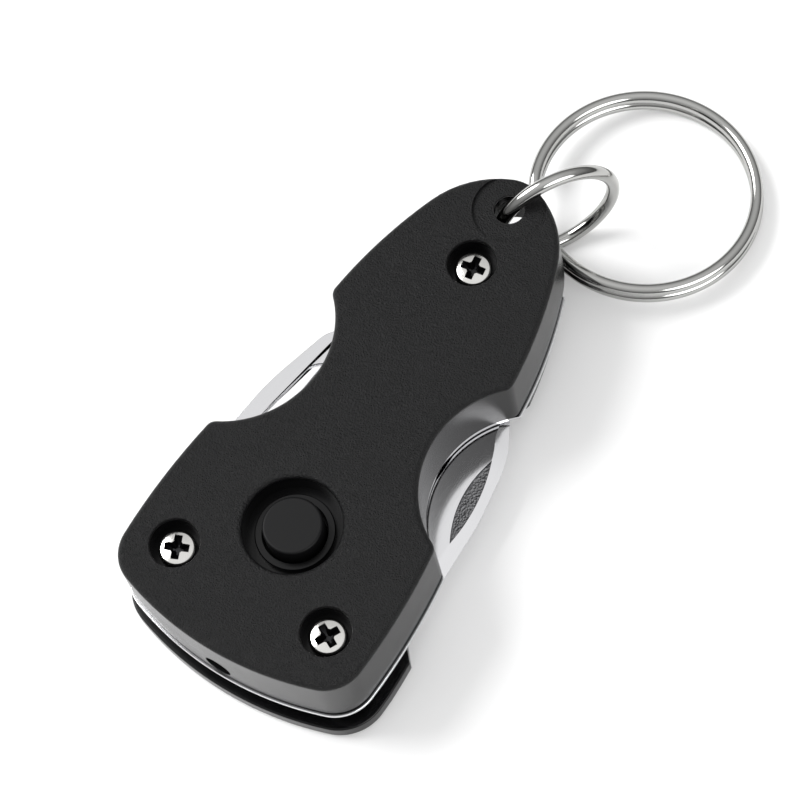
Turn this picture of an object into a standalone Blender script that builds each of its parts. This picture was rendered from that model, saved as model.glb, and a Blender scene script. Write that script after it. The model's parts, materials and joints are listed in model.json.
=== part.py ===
"""Keychain multi tool: black housing with a lamp, four fold-out tools and a key ring.

Origin: on the underside of the bottom cover, half way along the housing.
X runs across the housing, Y towards the key ring, Z up through the push button.
"""
import bpy
import bmesh
from math import atan2, cos, hypot, pi, radians, sin, sqrt
from mathutils import Vector

MM = 0.001
OBJECT_NAME = "multi_tool"

# ---- clearances ------------------------------------------------------------------
REST_GAP = 0.3 * MM          # between faces that touch on the real object
RUN_GAP = 0.06 * MM          # radial, between a shaft and its hole

# ---- housing outline (plan view) -------------------------------------------------
BODY_LENGTH = 65.8 * MM
WIDE_END_RADIUS = 40.0 * MM
SIDE_RADIUS = 80.0 * MM
SIDE_HALF_WIDTH = 16.1 * MM
SIDE_WIDEST_FROM_END = 10.8 * MM
WIDE_CORNER_RADIUS = 4.8 * MM
WAIST_RADIUS = 12.2 * MM
WAIST_FROM_END = 33.7 * MM
WAIST_CORNER_RADIUS = 1.4 * MM
FLANK_HALF_WIDTH = 12.4 * MM
FLANK_WIDEST_FROM_END = 38.0 * MM
SHOULDER_HALF_WIDTH = 8.916 * MM
SHOULDER_FROM_TIP = 8.0 * MM
SHOULDER_RADIUS = 12.0 * MM
TIP_RADIUS = 5.0 * MM

# ---- stack, from the floor up ----------------------------------------------------
BOTTOM_COVER_THICKNESS = 2.2 * MM
CHANNEL_HEIGHT = 1.3 * MM
SHEET_THICKNESS = 0.8 * MM
LINER_THICKNESS = 0.5 * MM
TOP_COVER_HEIGHT = 8.3 * MM

# ---- covers ----------------------------------------------------------------------
COVER_WALL = 1.2 * MM
COVER_ROOF = 1.2 * MM
TOP_EDGE_ROUND = 0.7 * MM
BOTTOM_EDGE_ROUND = 0.5 * MM
BOTTOM_WIDE_LIP = 0.8 * MM   # beyond the top cover's outline, at the wide end
BOTTOM_FRONT_INSET = 0.7 * MM
BOTTOM_TAPER_START_FROM_END = 7.9 * MM
BOTTOM_TAPER_STOP_FROM_END = 40.9 * MM
BOTTOM_FRONT_FROM_TIP = 6.9 * MM
THUMB_CUT_RADIUS = 30.2 * MM
TIP_BLOCK_FROM_TIP = 14.0 * MM
TIP_BLOCK_INSET = 1.5 * MM
LINER_LIP = 0.3 * MM
LINER_WAIST_CLEARANCE = 0.12 * MM

# ---- screws and the barrels they thread into -------------------------------------
PIVOT_SPACING = 20.4 * MM
PIVOT_FROM_END = 8.2 * MM
TIP_SCREW_FROM_TIP = 11.9 * MM
SCREW_HEAD_RADIUS = 2.2 * MM
SCREW_HEAD_HEIGHT = 1.2 * MM
SCREW_SHANK_RADIUS = 0.95 * MM
SCREW_SHANK_LENGTH = 5.0 * MM
SCREW_HEAD_DEPTH = 1.3 * MM
SCREW_RECESS_RADIUS = 2.9 * MM
CROSS_ARM_LENGTH = 2.5 * MM
CROSS_ARM_WIDTH = 0.6 * MM
CROSS_DEPTH = 0.8 * MM
BARREL_RADIUS = 1.7 * MM
BARREL_FLANGE_RADIUS = 2.8 * MM
BARREL_FLANGE_THICKNESS = 0.7 * MM
BARREL_FLANGE_INSET = 0.3 * MM
BARREL_TO_SCREW_SEAT = 1.5 * MM
BOSS_WALL = 0.9 * MM

# ---- ring hole, jump ring and key ring -------------------------------------------
RING_HOLE_FROM_TIP = 3.9 * MM
RING_HOLE_RADIUS = 1.8 * MM
RING_CHAMBER_RADIUS = 3.1 * MM   # the hole is wider inside, where the jump ring bows
RING_CHAMBER_TOP_DEPTH = 1.7 * MM
SPOTFACE_RADIUS = 4.3 * MM
SPOTFACE_DEPTH = 0.35 * MM
JUMP_WIRE = 1.65 * MM
JUMP_HALF_WIDTH = 7.4 * MM  # to the middle of the wire, across and up
JUMP_HALF_HEIGHT = 7.6 * MM
JUMP_CENTRE_REACH = 5.45 * MM
JUMP_SPLIT = radians(2.4)
RING_HEADING = radians(33)
KEY_WIRE = 1.5 * MM
KEY_OUTER_RADIUS = 13.9 * MM
KEY_RING_REACH = 16.8 * MM
COIL_GAP = 0.08 * MM
CLIMB_MIDDLE = radians(200)
CLIMB_HALF_ANGLE = radians(15)
COIL_END_ANGLE = radians(18)

# ---- push button -----------------------------------------------------------------
BUTTON_FROM_END = 16.7 * MM
BUTTON_RADIUS = 3.45 * MM
BUTTON_PROUD = -0.2 * MM
BUTTON_TRAVEL = 0.6 * MM
BUTTON_WELL_RADIUS = 5.7 * MM
BUTTON_WELL_DEPTH = 3.1 * MM
WELL_FLOOR_THICKNESS = 0.9 * MM
BUTTON_COLLAR_RADIUS = 4.6 * MM
BUTTON_COLLAR_RISE = 0.8 * MM
BUTTON_SIDE_GAP = 0.25 * MM
BUTTON_FLANGE_RADIUS = 5.2 * MM
BUTTON_FLANGE_THICKNESS = 0.7 * MM
BUTTON_STEM_RADIUS = 1.3 * MM

# ---- lamp and its electronics ----------------------------------------------------
LAMP_RADIUS = 1.5 * MM
LAMP_LENGTH = 4.9 * MM
LAMP_FLANGE_RADIUS = 1.7 * MM
LAMP_FLANGE_THICKNESS = 0.8 * MM
LAMP_RISE = 1.75 * MM
LAMP_SETBACK = 0.3 * MM
LEG_RADIUS = 0.22 * MM
LEG_PITCH = 1.27 * MM
BOARD_TO_BOSS = 1.2 * MM
BOARD_THICKNESS = 0.8 * MM
BOARD_FRONT_FROM_END = 6.6 * MM
BOARD_TO_TRAY = 0.4 * MM
BOARD_RISE = 1.4 * MM
SWITCH_SIZE = 3.6 * MM
SWITCH_HEIGHT = 1.1 * MM
PLUNGER_RADIUS = 0.95 * MM
PLUNGER_HEIGHT = 0.3 * MM
CELL_RADIUS = 6.25 * MM
CELL_THICKNESS = 2.0 * MM
CELL_TO_WALL = 0.6 * MM   # the waist is as narrow as the cells let it be
TRAY_END_WALL = 1.25 * MM
TRAY_SIDE_INSET = 0.15 * MM
TRAY_FLOOR = 0.5 * MM
TRAY_HEIGHT = 3.6 * MM
CONTACT_THICKNESS = 0.2 * MM
CONTACT_WIDTH = 3.0 * MM

# ---- folding tools (pivot at the origin, folded along +Y, +X outwards) -----------
KNIFE_LENGTH = 37.4 * MM
KNIFE_WIDTH = 7.0 * MM
TANG_REACH = 5.2 * MM
TANG_CORNER = 2.4 * MM
OPENER_LENGTH = 35.4 * MM
CHANNEL_WIDTH = 4.4 * MM
CHANNEL_SHEET = 0.4 * MM
DRIVER_LENGTH = 33.0 * MM
DRIVER_TAPER = 9.0 * MM
FLAT_TIP_WIDTH = 2.8 * MM
CROSS_TIP_WIDTH = 2.6 * MM
SPACER_WIDTH = 3.0 * MM
SPACER_LENGTH = 30.0 * MM

# ---- places that follow from the sizes above -------------------------------------
WIDE_END_Y = -BODY_LENGTH / 2
TIP_Y = BODY_LENGTH / 2
WAIST_HALF_WIDTH = CELL_RADIUS + CELL_TO_WALL + COVER_WALL
FLANK_RUN = BODY_LENGTH - SHOULDER_FROM_TIP - FLANK_WIDEST_FROM_END
FLANK_FALL = FLANK_HALF_WIDTH - SHOULDER_HALF_WIDTH
FLANK_RADIUS = (FLANK_RUN * FLANK_RUN + FLANK_FALL * FLANK_FALL) / (2 * FLANK_FALL)
CHANNEL_Z = BOTTOM_COVER_THICKNESS + REST_GAP
SHEET_Z = CHANNEL_Z + CHANNEL_HEIGHT + REST_GAP
LINER_Z = SHEET_Z + SHEET_THICKNESS + REST_GAP
TOP_COVER_Z = LINER_Z + LINER_THICKNESS + REST_GAP
BODY_TOP_Z = TOP_COVER_Z + TOP_COVER_HEIGHT
ROOF_Z = BODY_TOP_Z - COVER_ROOF
PIVOT_X = PIVOT_SPACING / 2
PIVOT_Y = WIDE_END_Y + PIVOT_FROM_END
TIP_SCREW_Y = TIP_Y - TIP_SCREW_FROM_TIP
RING_HOLE_Y = TIP_Y - RING_HOLE_FROM_TIP
BUTTON_Y = WIDE_END_Y + BUTTON_FROM_END
BOTTOM_FRONT_Y = TIP_Y - BOTTOM_FRONT_FROM_TIP
TAPER_START_Y = WIDE_END_Y + BOTTOM_TAPER_START_FROM_END
TAPER_STOP_Y = WIDE_END_Y + BOTTOM_TAPER_STOP_FROM_END
CELL_Y = WIDE_END_Y + WAIST_FROM_END
SCREW_HEAD_Z = BODY_TOP_Z - SCREW_HEAD_DEPTH - SCREW_HEAD_HEIGHT
SCREW_SEAT_Z = SCREW_HEAD_Z - REST_GAP
BARREL_TOP_Z = SCREW_SEAT_Z - BARREL_TO_SCREW_SEAT
BARREL_BOTTOM_Z = BARREL_FLANGE_INSET
BOARD_Z = TOP_COVER_Z + BOARD_RISE
BUTTON_TOP_Z = BODY_TOP_Z + BUTTON_PROUD
WELL_FLOOR_Z = BODY_TOP_Z - BUTTON_WELL_DEPTH
LAMP_Z = TOP_COVER_Z + LAMP_RISE
BOARD_WIDTH = 2 * (PIVOT_X - SCREW_RECESS_RADIUS - BOSS_WALL - BOARD_TO_BOSS)
TRAY_LENGTH = 2 * (CELL_RADIUS + REST_GAP + TRAY_END_WALL)
TRAY_WIDTH = 2 * (CELL_RADIUS - TRAY_SIDE_INSET)
BOARD_BACK_Y = CELL_Y - TRAY_LENGTH / 2 - BOARD_TO_TRAY
CELL_Z = TOP_COVER_Z + TRAY_FLOOR + CONTACT_THICKNESS + 2 * REST_GAP
CELL_STACK_TOP_Z = CELL_Z + 2 * CELL_THICKNESS + REST_GAP
JUMP_CENTRE_Z = JUMP_WIRE / 2 + JUMP_HALF_HEIGHT
BARRELS = {
    "left_pivot": (-PIVOT_X, PIVOT_Y),
    "right_pivot": (PIVOT_X, PIVOT_Y),
    "tip": (0.0, TIP_SCREW_Y),
}


# ---- plan-view geometry ----------------------------------------------------------
def arc(centre, radius, start, end, steps):
    """Points on a circle from one angle to another, both ends included."""
    points = []
    for i in range(steps + 1):
        angle = start + (end - start) * i / steps
        points.append((centre[0] + radius * cos(angle), centre[1] + radius * sin(angle)))
    return points


def meet(centre_a, radius_a, centre_b, radius_b, side):
    """Where two circles cross, on the chosen side (+1 left, -1 right) of A to B."""
    dx = centre_b[0] - centre_a[0]
    dy = centre_b[1] - centre_a[1]
    gap = hypot(dx, dy)
    along = (gap * gap + radius_a * radius_a - radius_b * radius_b) / (2 * gap)
    across = side * sqrt(radius_a * radius_a - along * along)
    return (
        centre_a[0] + (dx * along - dy * across) / gap,
        centre_a[1] + (dy * along + dx * across) / gap,
    )


def bearing(centre, point):
    return atan2(point[1] - centre[1], point[0] - centre[0])


def housing_outline(inset):
    """The housing seen from above, drawn inwards by inset: six arcs a side, all tangent."""
    end = (0.0, WIDE_END_Y + WIDE_END_RADIUS)
    side = (SIDE_HALF_WIDTH - SIDE_RADIUS, WIDE_END_Y + SIDE_WIDEST_FROM_END)
    waist = (WAIST_HALF_WIDTH + WAIST_RADIUS, WIDE_END_Y + WAIST_FROM_END)
    flank = (FLANK_HALF_WIDTH - FLANK_RADIUS, WIDE_END_Y + FLANK_WIDEST_FROM_END)
    tip = (0.0, TIP_Y - TIP_RADIUS)
    corner = WIDE_CORNER_RADIUS
    small = WAIST_CORNER_RADIUS
    corner_a = meet(end, WIDE_END_RADIUS - corner, side, SIDE_RADIUS - corner, 1)
    corner_b = meet(side, SIDE_RADIUS - small, waist, WAIST_RADIUS + small, -1)
    corner_c = meet(waist, WAIST_RADIUS + small, flank, FLANK_RADIUS - small, -1)
    shoulder = SHOULDER_RADIUS
    corner_d = meet(flank, FLANK_RADIUS - shoulder, tip, shoulder - TIP_RADIUS, -1)
    arcs = [
        (end, WIDE_END_RADIUS, -pi / 2, bearing(end, corner_a), 6),
        (corner_a, corner, bearing(end, corner_a), bearing(side, corner_a), 7),
        (side, SIDE_RADIUS, bearing(side, corner_a), bearing(side, corner_b), 3),
        (corner_b, small, bearing(side, corner_b), bearing(corner_b, waist), 4),
        (waist, -WAIST_RADIUS, bearing(waist, corner_b) + 2 * pi, bearing(waist, corner_c), 14),
        (corner_c, small, bearing(corner_c, waist), bearing(flank, corner_c), 4),
        (flank, FLANK_RADIUS, bearing(flank, corner_c), bearing(flank, corner_d), 6),
        (corner_d, shoulder, bearing(flank, corner_d), bearing(corner_d, tip), 4),
        (tip, TIP_RADIUS, bearing(corner_d, tip), pi / 2, 6),
    ]
    half = []
    for centre, radius, start, stop, steps in arcs:
        if start - stop > pi and radius > 0:
            start -= 2 * pi
        grown = max(abs(radius) + (inset if radius < 0 else -inset), 0.02 * MM)
        half += arc(centre, grown, start, stop, steps)
    left = [(-x, y) for x, y in reversed(half)]
    return tidy(half + left)


def tidy(points):
    """Drops points that repeat their neighbour."""
    kept = []
    for point in points:
        if not kept or hypot(point[0] - kept[-1][0], point[1] - kept[-1][1]) > 0.02 * MM:
            kept.append(point)
    if hypot(kept[0][0] - kept[-1][0], kept[0][1] - kept[-1][1]) < 0.02 * MM:
        kept.pop()
    return kept


def fillet(corners):
    """A closed outline from (x, y, radius) corners, each rounded by its radius."""
    points = []
    count = len(corners)
    for i in range(count):
        before = Vector(corners[i - 1][:2])
        here = Vector(corners[i][:2])
        after = Vector(corners[(i + 1) % count][:2])
        radius = corners[i][2]
        to_before = (before - here).normalized()
        to_after = (after - here).normalized()
        half_angle = to_before.angle(to_after) / 2
        if radius < 0.01 * MM or half_angle > pi / 2 - 0.01:
            points.append((here.x, here.y))
            continue
        bisector = (to_before + to_after).normalized()
        centre = here + bisector * (radius / sin(half_angle))
        start = bearing(centre, here + to_before * (radius / sin(half_angle) * cos(half_angle)))
        stop = bearing(centre, here + to_after * (radius / sin(half_angle) * cos(half_angle)))
        turn = (stop - start + pi) % (2 * pi) - pi
        steps = max(2, round(abs(turn) / radians(22)))
        points += arc(centre, radius, start, start + turn, steps)
    return tidy(points)


def circle(x, y, radius, steps=24):
    return arc((x, y), radius, 0, 2 * pi * (1 - 1 / steps), steps - 1)


# ---- making objects --------------------------------------------------------------
def srgb(value):
    """One sRGB channel, 0 to 255, as the linear value that Blender's shaders take."""
    value /= 255
    return value / 12.92 if value <= 0.04045 else ((value + 0.055) / 1.055) ** 2.4


def paint(name, red, green, blue, roughness, metallic):
    material = bpy.data.materials.new(name)
    material.use_nodes = True
    shader = material.node_tree.nodes["Principled BSDF"]
    colour = (srgb(red), srgb(green), srgb(blue), 1.0)
    shader.inputs["Base Color"].default_value = colour
    shader.inputs["Roughness"].default_value = roughness
    shader.inputs["Metallic"].default_value = metallic
    material.diffuse_color = colour
    return material


def add_mesh(name, bm, material=None, collection=None):
    """Turns a bmesh into an object with outward normals."""
    bmesh.ops.recalc_face_normals(bm, faces=bm.faces[:])
    mesh = bpy.data.meshes.new(name)
    bm.to_mesh(mesh)
    bm.free()
    item = bpy.data.objects.new(name, mesh)
    (collection or parts).objects.link(item)
    if material:
        mesh.materials.append(material)
    return item


def cutter(name, bm):
    item = add_mesh(name, bm, collection=cutters)
    item.hide_render = True
    item.display_type = "WIRE"
    return item


def boolean(item, tool, operation="DIFFERENCE"):
    modifier = item.modifiers.new(tool.name, "BOOLEAN")
    modifier.object = tool
    modifier.operation = operation
    return modifier


def box_bm(x0, x1, y0, y1, z0, z1):
    bm = bmesh.new()
    bmesh.ops.create_cube(bm, size=1)
    bmesh.ops.scale(bm, vec=(x1 - x0, y1 - y0, z1 - z0), verts=bm.verts)
    bmesh.ops.translate(bm, vec=((x0 + x1) / 2, (y0 + y1) / 2, (z0 + z1) / 2), verts=bm.verts)
    return bm


def rod_bm(x, y, z0, z1, radius, top_radius=None, steps=32):
    bm = bmesh.new()
    bmesh.ops.create_cone(
        bm, cap_ends=True, segments=steps, depth=z1 - z0,
        radius1=radius, radius2=radius if top_radius is None else top_radius,
    )
    bmesh.ops.translate(bm, vec=(x, y, (z0 + z1) / 2), verts=bm.verts)
    return bm


def plate_bm(outlines, z0, z1):
    """A flat plate: the first outline is its edge, and the others are holes in it."""
    curve = bpy.data.curves.new("plate", "CURVE")
    curve.dimensions = "2D"
    curve.fill_mode = "BOTH"
    curve.extrude = (z1 - z0) / 2
    for outline in outlines:
        spline = curve.splines.new("POLY")
        spline.points.add(len(outline) - 1)
        spline.use_cyclic_u = True
        for point, (x, y) in zip(spline.points, outline):
            point.co = (x, y, 0, 1)
    guide = bpy.data.objects.new("plate", curve)
    parts.objects.link(guide)
    graph = bpy.context.evaluated_depsgraph_get()
    mesh = bpy.data.meshes.new_from_object(guide.evaluated_get(graph))
    bm = bmesh.new()
    bm.from_mesh(mesh)
    bmesh.ops.remove_doubles(bm, verts=bm.verts, dist=0.001 * MM)
    flat = radians(0.2)
    bmesh.ops.dissolve_limit(bm, angle_limit=flat, verts=bm.verts, edges=bm.edges)
    bmesh.ops.translate(bm, vec=(0, 0, (z0 + z1) / 2), verts=bm.verts)
    bpy.data.objects.remove(guide)
    bpy.data.curves.remove(curve)
    bpy.data.meshes.remove(mesh)
    return bm


def turned(name, profile, place, material, steps=32, collection=None):
    """A body of revolution about Z: (radius, height) pairs, from the top down."""
    bm = bmesh.new()
    closed = profile[0] == profile[-1]
    points = [bm.verts.new((radius, 0, z)) for radius, z in profile[:len(profile) - closed]]
    if closed:
        points.append(points[0])
    for first, second in zip(points, points[1:]):
        bm.edges.new((first, second))
    mesh = bpy.data.meshes.new(name)
    bm.to_mesh(mesh)
    bm.free()
    item = bpy.data.objects.new(name, mesh)
    (collection or parts).objects.link(item)
    item.location = place
    if material:
        mesh.materials.append(material)
    screw = item.modifiers.new("turn", "SCREW")
    screw.steps = steps
    screw.render_steps = steps
    screw.use_merge_vertices = True
    screw.merge_threshold = 0.0001 * MM
    if collection:
        item.hide_render = True
        item.display_type = "WIRE"
    return item


def wire(name, points, thickness, material, resolution=2):
    curve = bpy.data.curves.new(name, "CURVE")
    curve.dimensions = "3D"
    curve.bevel_depth = thickness / 2
    curve.bevel_resolution = resolution
    curve.use_fill_caps = True
    spline = curve.splines.new("POLY")
    spline.points.add(len(points) - 1)
    for point, place in zip(spline.points, points):
        point.co = (*place, 1)
    item = bpy.data.objects.new(name, curve)
    parts.objects.link(item)
    curve.materials.append(material)
    return item


def round_edges(item, width, steps, picked):
    """Bevels only the sharp edges whose two ends pass the test."""
    mesh = item.data
    bm = bmesh.new()
    bm.from_mesh(mesh)
    sharp = [edge.calc_face_angle(0) > radians(60) for edge in bm.edges]
    chosen = [sharp[e.index] and all(picked(end.co) for end in e.verts) for e in bm.edges]
    bm.free()
    weights = mesh.attributes.new("bevel_weight_edge", "FLOAT", "EDGE")
    for edge, wanted in zip(mesh.edges, chosen):
        weights.data[edge.index].value = 1.0 if wanted else 0.0
    bevel = item.modifiers.new("rounded", "BEVEL")
    bevel.limit_method = "WEIGHT"
    bevel.width = width
    bevel.segments = steps
    bevel.use_clamp_overlap = False
    return bevel


def smooth(item, degrees=35):
    item.data.shade_smooth()
    item.data.set_sharp_from_angle(angle=radians(degrees))


# ---- covers ----------------------------------------------------------------------
def make_top_cover():
    cover = add_mesh(
        "top_cover", plate_bm([housing_outline(0)], TOP_COVER_Z, BODY_TOP_Z), black_plastic
    )
    round_edges(cover, TOP_EDGE_ROUND, 3, lambda end: end.z > BODY_TOP_Z - 0.01 * MM)

    below = TOP_COVER_Z - 1 * MM
    hollow = cutter("cover_hollow", plate_bm([housing_outline(COVER_WALL)], below, ROOF_Z))
    lid_z = WELL_FLOOR_Z - WELL_FLOOR_THICKNESS
    kept = []
    for x, y in BARRELS.values():
        kept.append(rod_bm(x, y, below - 1 * MM, BODY_TOP_Z, SCREW_RECESS_RADIUS + BOSS_WALL))
    kept.append(rod_bm(0, BUTTON_Y, lid_z, BODY_TOP_Z, BUTTON_WELL_RADIUS + BOSS_WALL))
    boss_front = RING_HOLE_Y - RING_CHAMBER_RADIUS - COVER_WALL
    kept.append(box_bm(-12 * MM, 12 * MM, boss_front, TIP_Y + 1 * MM, below - 1 * MM, BODY_TOP_Z))
    for index, bm in enumerate(kept):
        boolean(hollow, cutter(f"kept_solid_{index}", bm))
    boolean(cover, hollow)

    for name, (x, y) in BARRELS.items():
        recess = rod_bm(x, y, SCREW_SEAT_Z, BODY_TOP_Z + 1 * MM, SCREW_RECESS_RADIUS)
        boolean(cover, cutter(f"{name}_recess", recess))
        shank = rod_bm(x, y, BARREL_TOP_Z, BODY_TOP_Z, SCREW_SHANK_RADIUS + REST_GAP)
        boolean(cover, cutter(f"{name}_shank_hole", shank))
        socket_top = BARREL_TOP_Z + REST_GAP
        socket = rod_bm(x, y, TOP_COVER_Z - 1 * MM, socket_top, BARREL_RADIUS + RUN_GAP)
        boolean(cover, cutter(f"{name}_socket", socket))

    well_profile = [
        (0, BODY_TOP_Z + 1 * MM),
        (BUTTON_WELL_RADIUS + 0.5 * MM, BODY_TOP_Z + 1 * MM),
        (BUTTON_WELL_RADIUS + 0.5 * MM, BODY_TOP_Z),
        (BUTTON_WELL_RADIUS + 0.12 * MM, BODY_TOP_Z - 0.18 * MM),
        (BUTTON_WELL_RADIUS, BODY_TOP_Z - 0.5 * MM),
        (BUTTON_WELL_RADIUS, WELL_FLOOR_Z),
        (BUTTON_COLLAR_RADIUS, WELL_FLOOR_Z),
        (BUTTON_COLLAR_RADIUS, WELL_FLOOR_Z + BUTTON_COLLAR_RISE),
        (BUTTON_RADIUS + BUTTON_SIDE_GAP, WELL_FLOOR_Z + BUTTON_COLLAR_RISE),
        (BUTTON_RADIUS + BUTTON_SIDE_GAP, lid_z - 1 * MM),
        (0, lid_z - 1 * MM),
    ]
    well = turned("button_well", well_profile, (0, BUTTON_Y, 0), None, 48, cutters)
    boolean(cover, well)

    spot = BODY_TOP_Z - SPOTFACE_DEPTH
    spotface = rod_bm(0, RING_HOLE_Y, spot, BODY_TOP_Z + 1 * MM, SPOTFACE_RADIUS, steps=48)
    boolean(cover, cutter("ring_spotface", spotface))
    bore = rod_bm(0, RING_HOLE_Y, below, BODY_TOP_Z + 1 * MM, RING_HOLE_RADIUS)
    boolean(cover, cutter("ring_bore", bore))
    chamber_top = BODY_TOP_Z - RING_CHAMBER_TOP_DEPTH
    chamber = rod_bm(0, RING_HOLE_Y, below, chamber_top, RING_CHAMBER_RADIUS)
    boolean(cover, cutter("ring_chamber", chamber))

    window = rod_bm(0, 0, -3 * MM, 3 * MM, LAMP_RADIUS + REST_GAP / 2)
    window_cutter = cutter("lamp_window", window)
    window_cutter.rotation_euler = (pi / 2, 0, 0)
    window_cutter.location = (0, WIDE_END_Y + COVER_WALL, LAMP_Z)
    boolean(cover, window_cutter)
    return cover


def bottom_outline():
    """The housing's outline, which stands proud at the wide end and tapers to the tip."""
    proud = housing_outline(-BOTTOM_WIDE_LIP)
    drawn_in = housing_outline(BOTTOM_FRONT_INSET)
    points = []
    for (wide_x, wide_y), (near_x, near_y) in zip(proud, drawn_in):
        share = (wide_y - TAPER_START_Y) / (TAPER_STOP_Y - TAPER_START_Y)
        share = min(max(share, 0), 1)
        points.append((wide_x + (near_x - wide_x) * share, wide_y + (near_y - wide_y) * share))
    return points


def make_bottom_cover():
    cover = add_mesh(
        "bottom_cover", plate_bm([bottom_outline()], 0, BOTTOM_COVER_THICKNESS), black_plastic
    )
    round_edges(cover, BOTTOM_EDGE_ROUND, 2, lambda end: end.z < 0.01 * MM)
    cut_x = WAIST_HALF_WIDTH + THUMB_CUT_RADIUS
    cut_y = WIDE_END_Y + WAIST_FROM_END
    thumb = rod_bm(cut_x, cut_y, -1 * MM, 4 * MM, THUMB_CUT_RADIUS, steps=128)
    boolean(cover, cutter("thumb_cut", thumb))

    block_top = SHEET_Z + SHEET_THICKNESS
    block_outline = housing_outline(TIP_BLOCK_INSET)
    block = plate_bm([block_outline], BOTTOM_COVER_THICKNESS - 0.5 * MM, block_top)
    block_item = cutter("tip_block", block)
    block_y = TIP_Y - TIP_BLOCK_FROM_TIP
    clear = box_bm(-20 * MM, 20 * MM, WIDE_END_Y - 1 * MM, block_y, 0, 8 * MM)
    boolean(block_item, cutter("tip_block_front", clear))
    boolean(cover, block_item, "UNION")
    ahead = box_bm(-20 * MM, 20 * MM, BOTTOM_FRONT_Y, TIP_Y + 2 * MM, -1 * MM, 8 * MM)
    boolean(cover, cutter("ring_clearance", ahead))

    for name, (x, y) in BARRELS.items():
        bore = rod_bm(x, y, -1 * MM, 8 * MM, BARREL_RADIUS + RUN_GAP)
        boolean(cover, cutter(f"{name}_cover_bore", bore))
        seat_top = BARREL_FLANGE_INSET + BARREL_FLANGE_THICKNESS + REST_GAP
        seat = rod_bm(x, y, -1 * MM, seat_top, BARREL_FLANGE_RADIUS + REST_GAP)
        boolean(cover, cutter(f"{name}_flange_seat", seat))
    return cover


# ---- fasteners -------------------------------------------------------------------
def make_barrel(name, x, y):
    flange_top = BARREL_FLANGE_INSET + BARREL_FLANGE_THICKNESS
    bore = SCREW_SHANK_RADIUS + RUN_GAP
    profile = [
        (bore, BARREL_TOP_Z),
        (BARREL_RADIUS, BARREL_TOP_Z),
        (BARREL_RADIUS, flange_top),
        (BARREL_FLANGE_RADIUS, flange_top),
        (BARREL_FLANGE_RADIUS, BARREL_BOTTOM_Z),
        (bore, BARREL_BOTTOM_Z),
        (bore, BARREL_TOP_Z),
    ]
    return turned(f"{name}_barrel", profile, (x, y, 0), polished_steel)


def make_screw(name, x, y):
    head = SCREW_HEAD_Z + SCREW_HEAD_HEIGHT
    radius = SCREW_HEAD_RADIUS
    profile = [
        (0, head),
        (radius * 0.62, head - 0.08 * MM),
        (radius * 0.88, head - 0.3 * MM),
        (radius, head - 0.65 * MM),
        (radius, SCREW_HEAD_Z),
        (SCREW_SHANK_RADIUS, SCREW_HEAD_Z),
        (SCREW_SHANK_RADIUS, SCREW_HEAD_Z - SCREW_SHANK_LENGTH),
        (0, SCREW_HEAD_Z - SCREW_SHANK_LENGTH - 0.4 * MM),
    ]
    screw = turned(f"{name}_screw", profile, (x, y, 0), polished_steel)
    half = CROSS_ARM_WIDTH / 2
    arm = CROSS_ARM_LENGTH / 2
    for index, (across, along) in enumerate(((half, arm), (arm, half))):
        slot = box_bm(-across, across, -along, along, head - CROSS_DEPTH, head + 1 * MM)
        slot_cutter = cutter(f"{name}_cross_{index}", slot)
        slot_cutter.location = (x, y, 0)
        boolean(screw, slot_cutter)
    return screw


# ---- liner and spacer ------------------------------------------------------------
def make_liner():
    holes = [circle(x, y, BARREL_RADIUS + RUN_GAP, 20) for x, y in BARRELS.values()]
    outline = housing_outline(-LINER_LIP)
    bm = plate_bm([outline, *holes], LINER_Z, LINER_Z + LINER_THICKNESS)
    liner = add_mesh("upper_liner", bm, polished_steel)
    front = BOTTOM_FRONT_Y - REST_GAP
    ahead = box_bm(-20 * MM, 20 * MM, front, TIP_Y + 2 * MM, 0, 9 * MM)
    boolean(liner, cutter("liner_front", ahead))
    for name, side in (("left", -1), ("right", 1)):
        waist = rod_bm(0, 0, 0, 9 * MM, WAIST_RADIUS + LINER_WAIST_CLEARANCE, steps=64)
        waist_cutter = cutter(f"liner_waist_{name}", waist)
        waist_cutter.location = (side * (WAIST_HALF_WIDTH + WAIST_RADIUS), CELL_Y, 0)
        boolean(liner, waist_cutter)
    return liner


def make_spacer():
    half = SPACER_WIDTH / 2
    y0 = PIVOT_Y + BARREL_RADIUS
    corners = [
        (-half, y0, half * 0.6),
        (half, y0, half * 0.6),
        (half, y0 + SPACER_LENGTH, half * 0.6),
        (-half, y0 + SPACER_LENGTH, half * 0.6),
    ]
    top = SHEET_Z + SHEET_THICKNESS
    return add_mesh("centre_spacer", plate_bm([fillet(corners)], CHANNEL_Z, top), black_plastic)


# ---- folding tools ---------------------------------------------------------------
def tool_eye(side, reach):
    """The rounded heel of a tool, from its inner side round to its outer side."""
    return [
        (-side * 3.4 * MM, -2.4 * MM, 2.2 * MM),
        (-side * 1.2 * MM, -reach, 1.6 * MM),
        (side * reach, -reach, TANG_CORNER),
    ]


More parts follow.
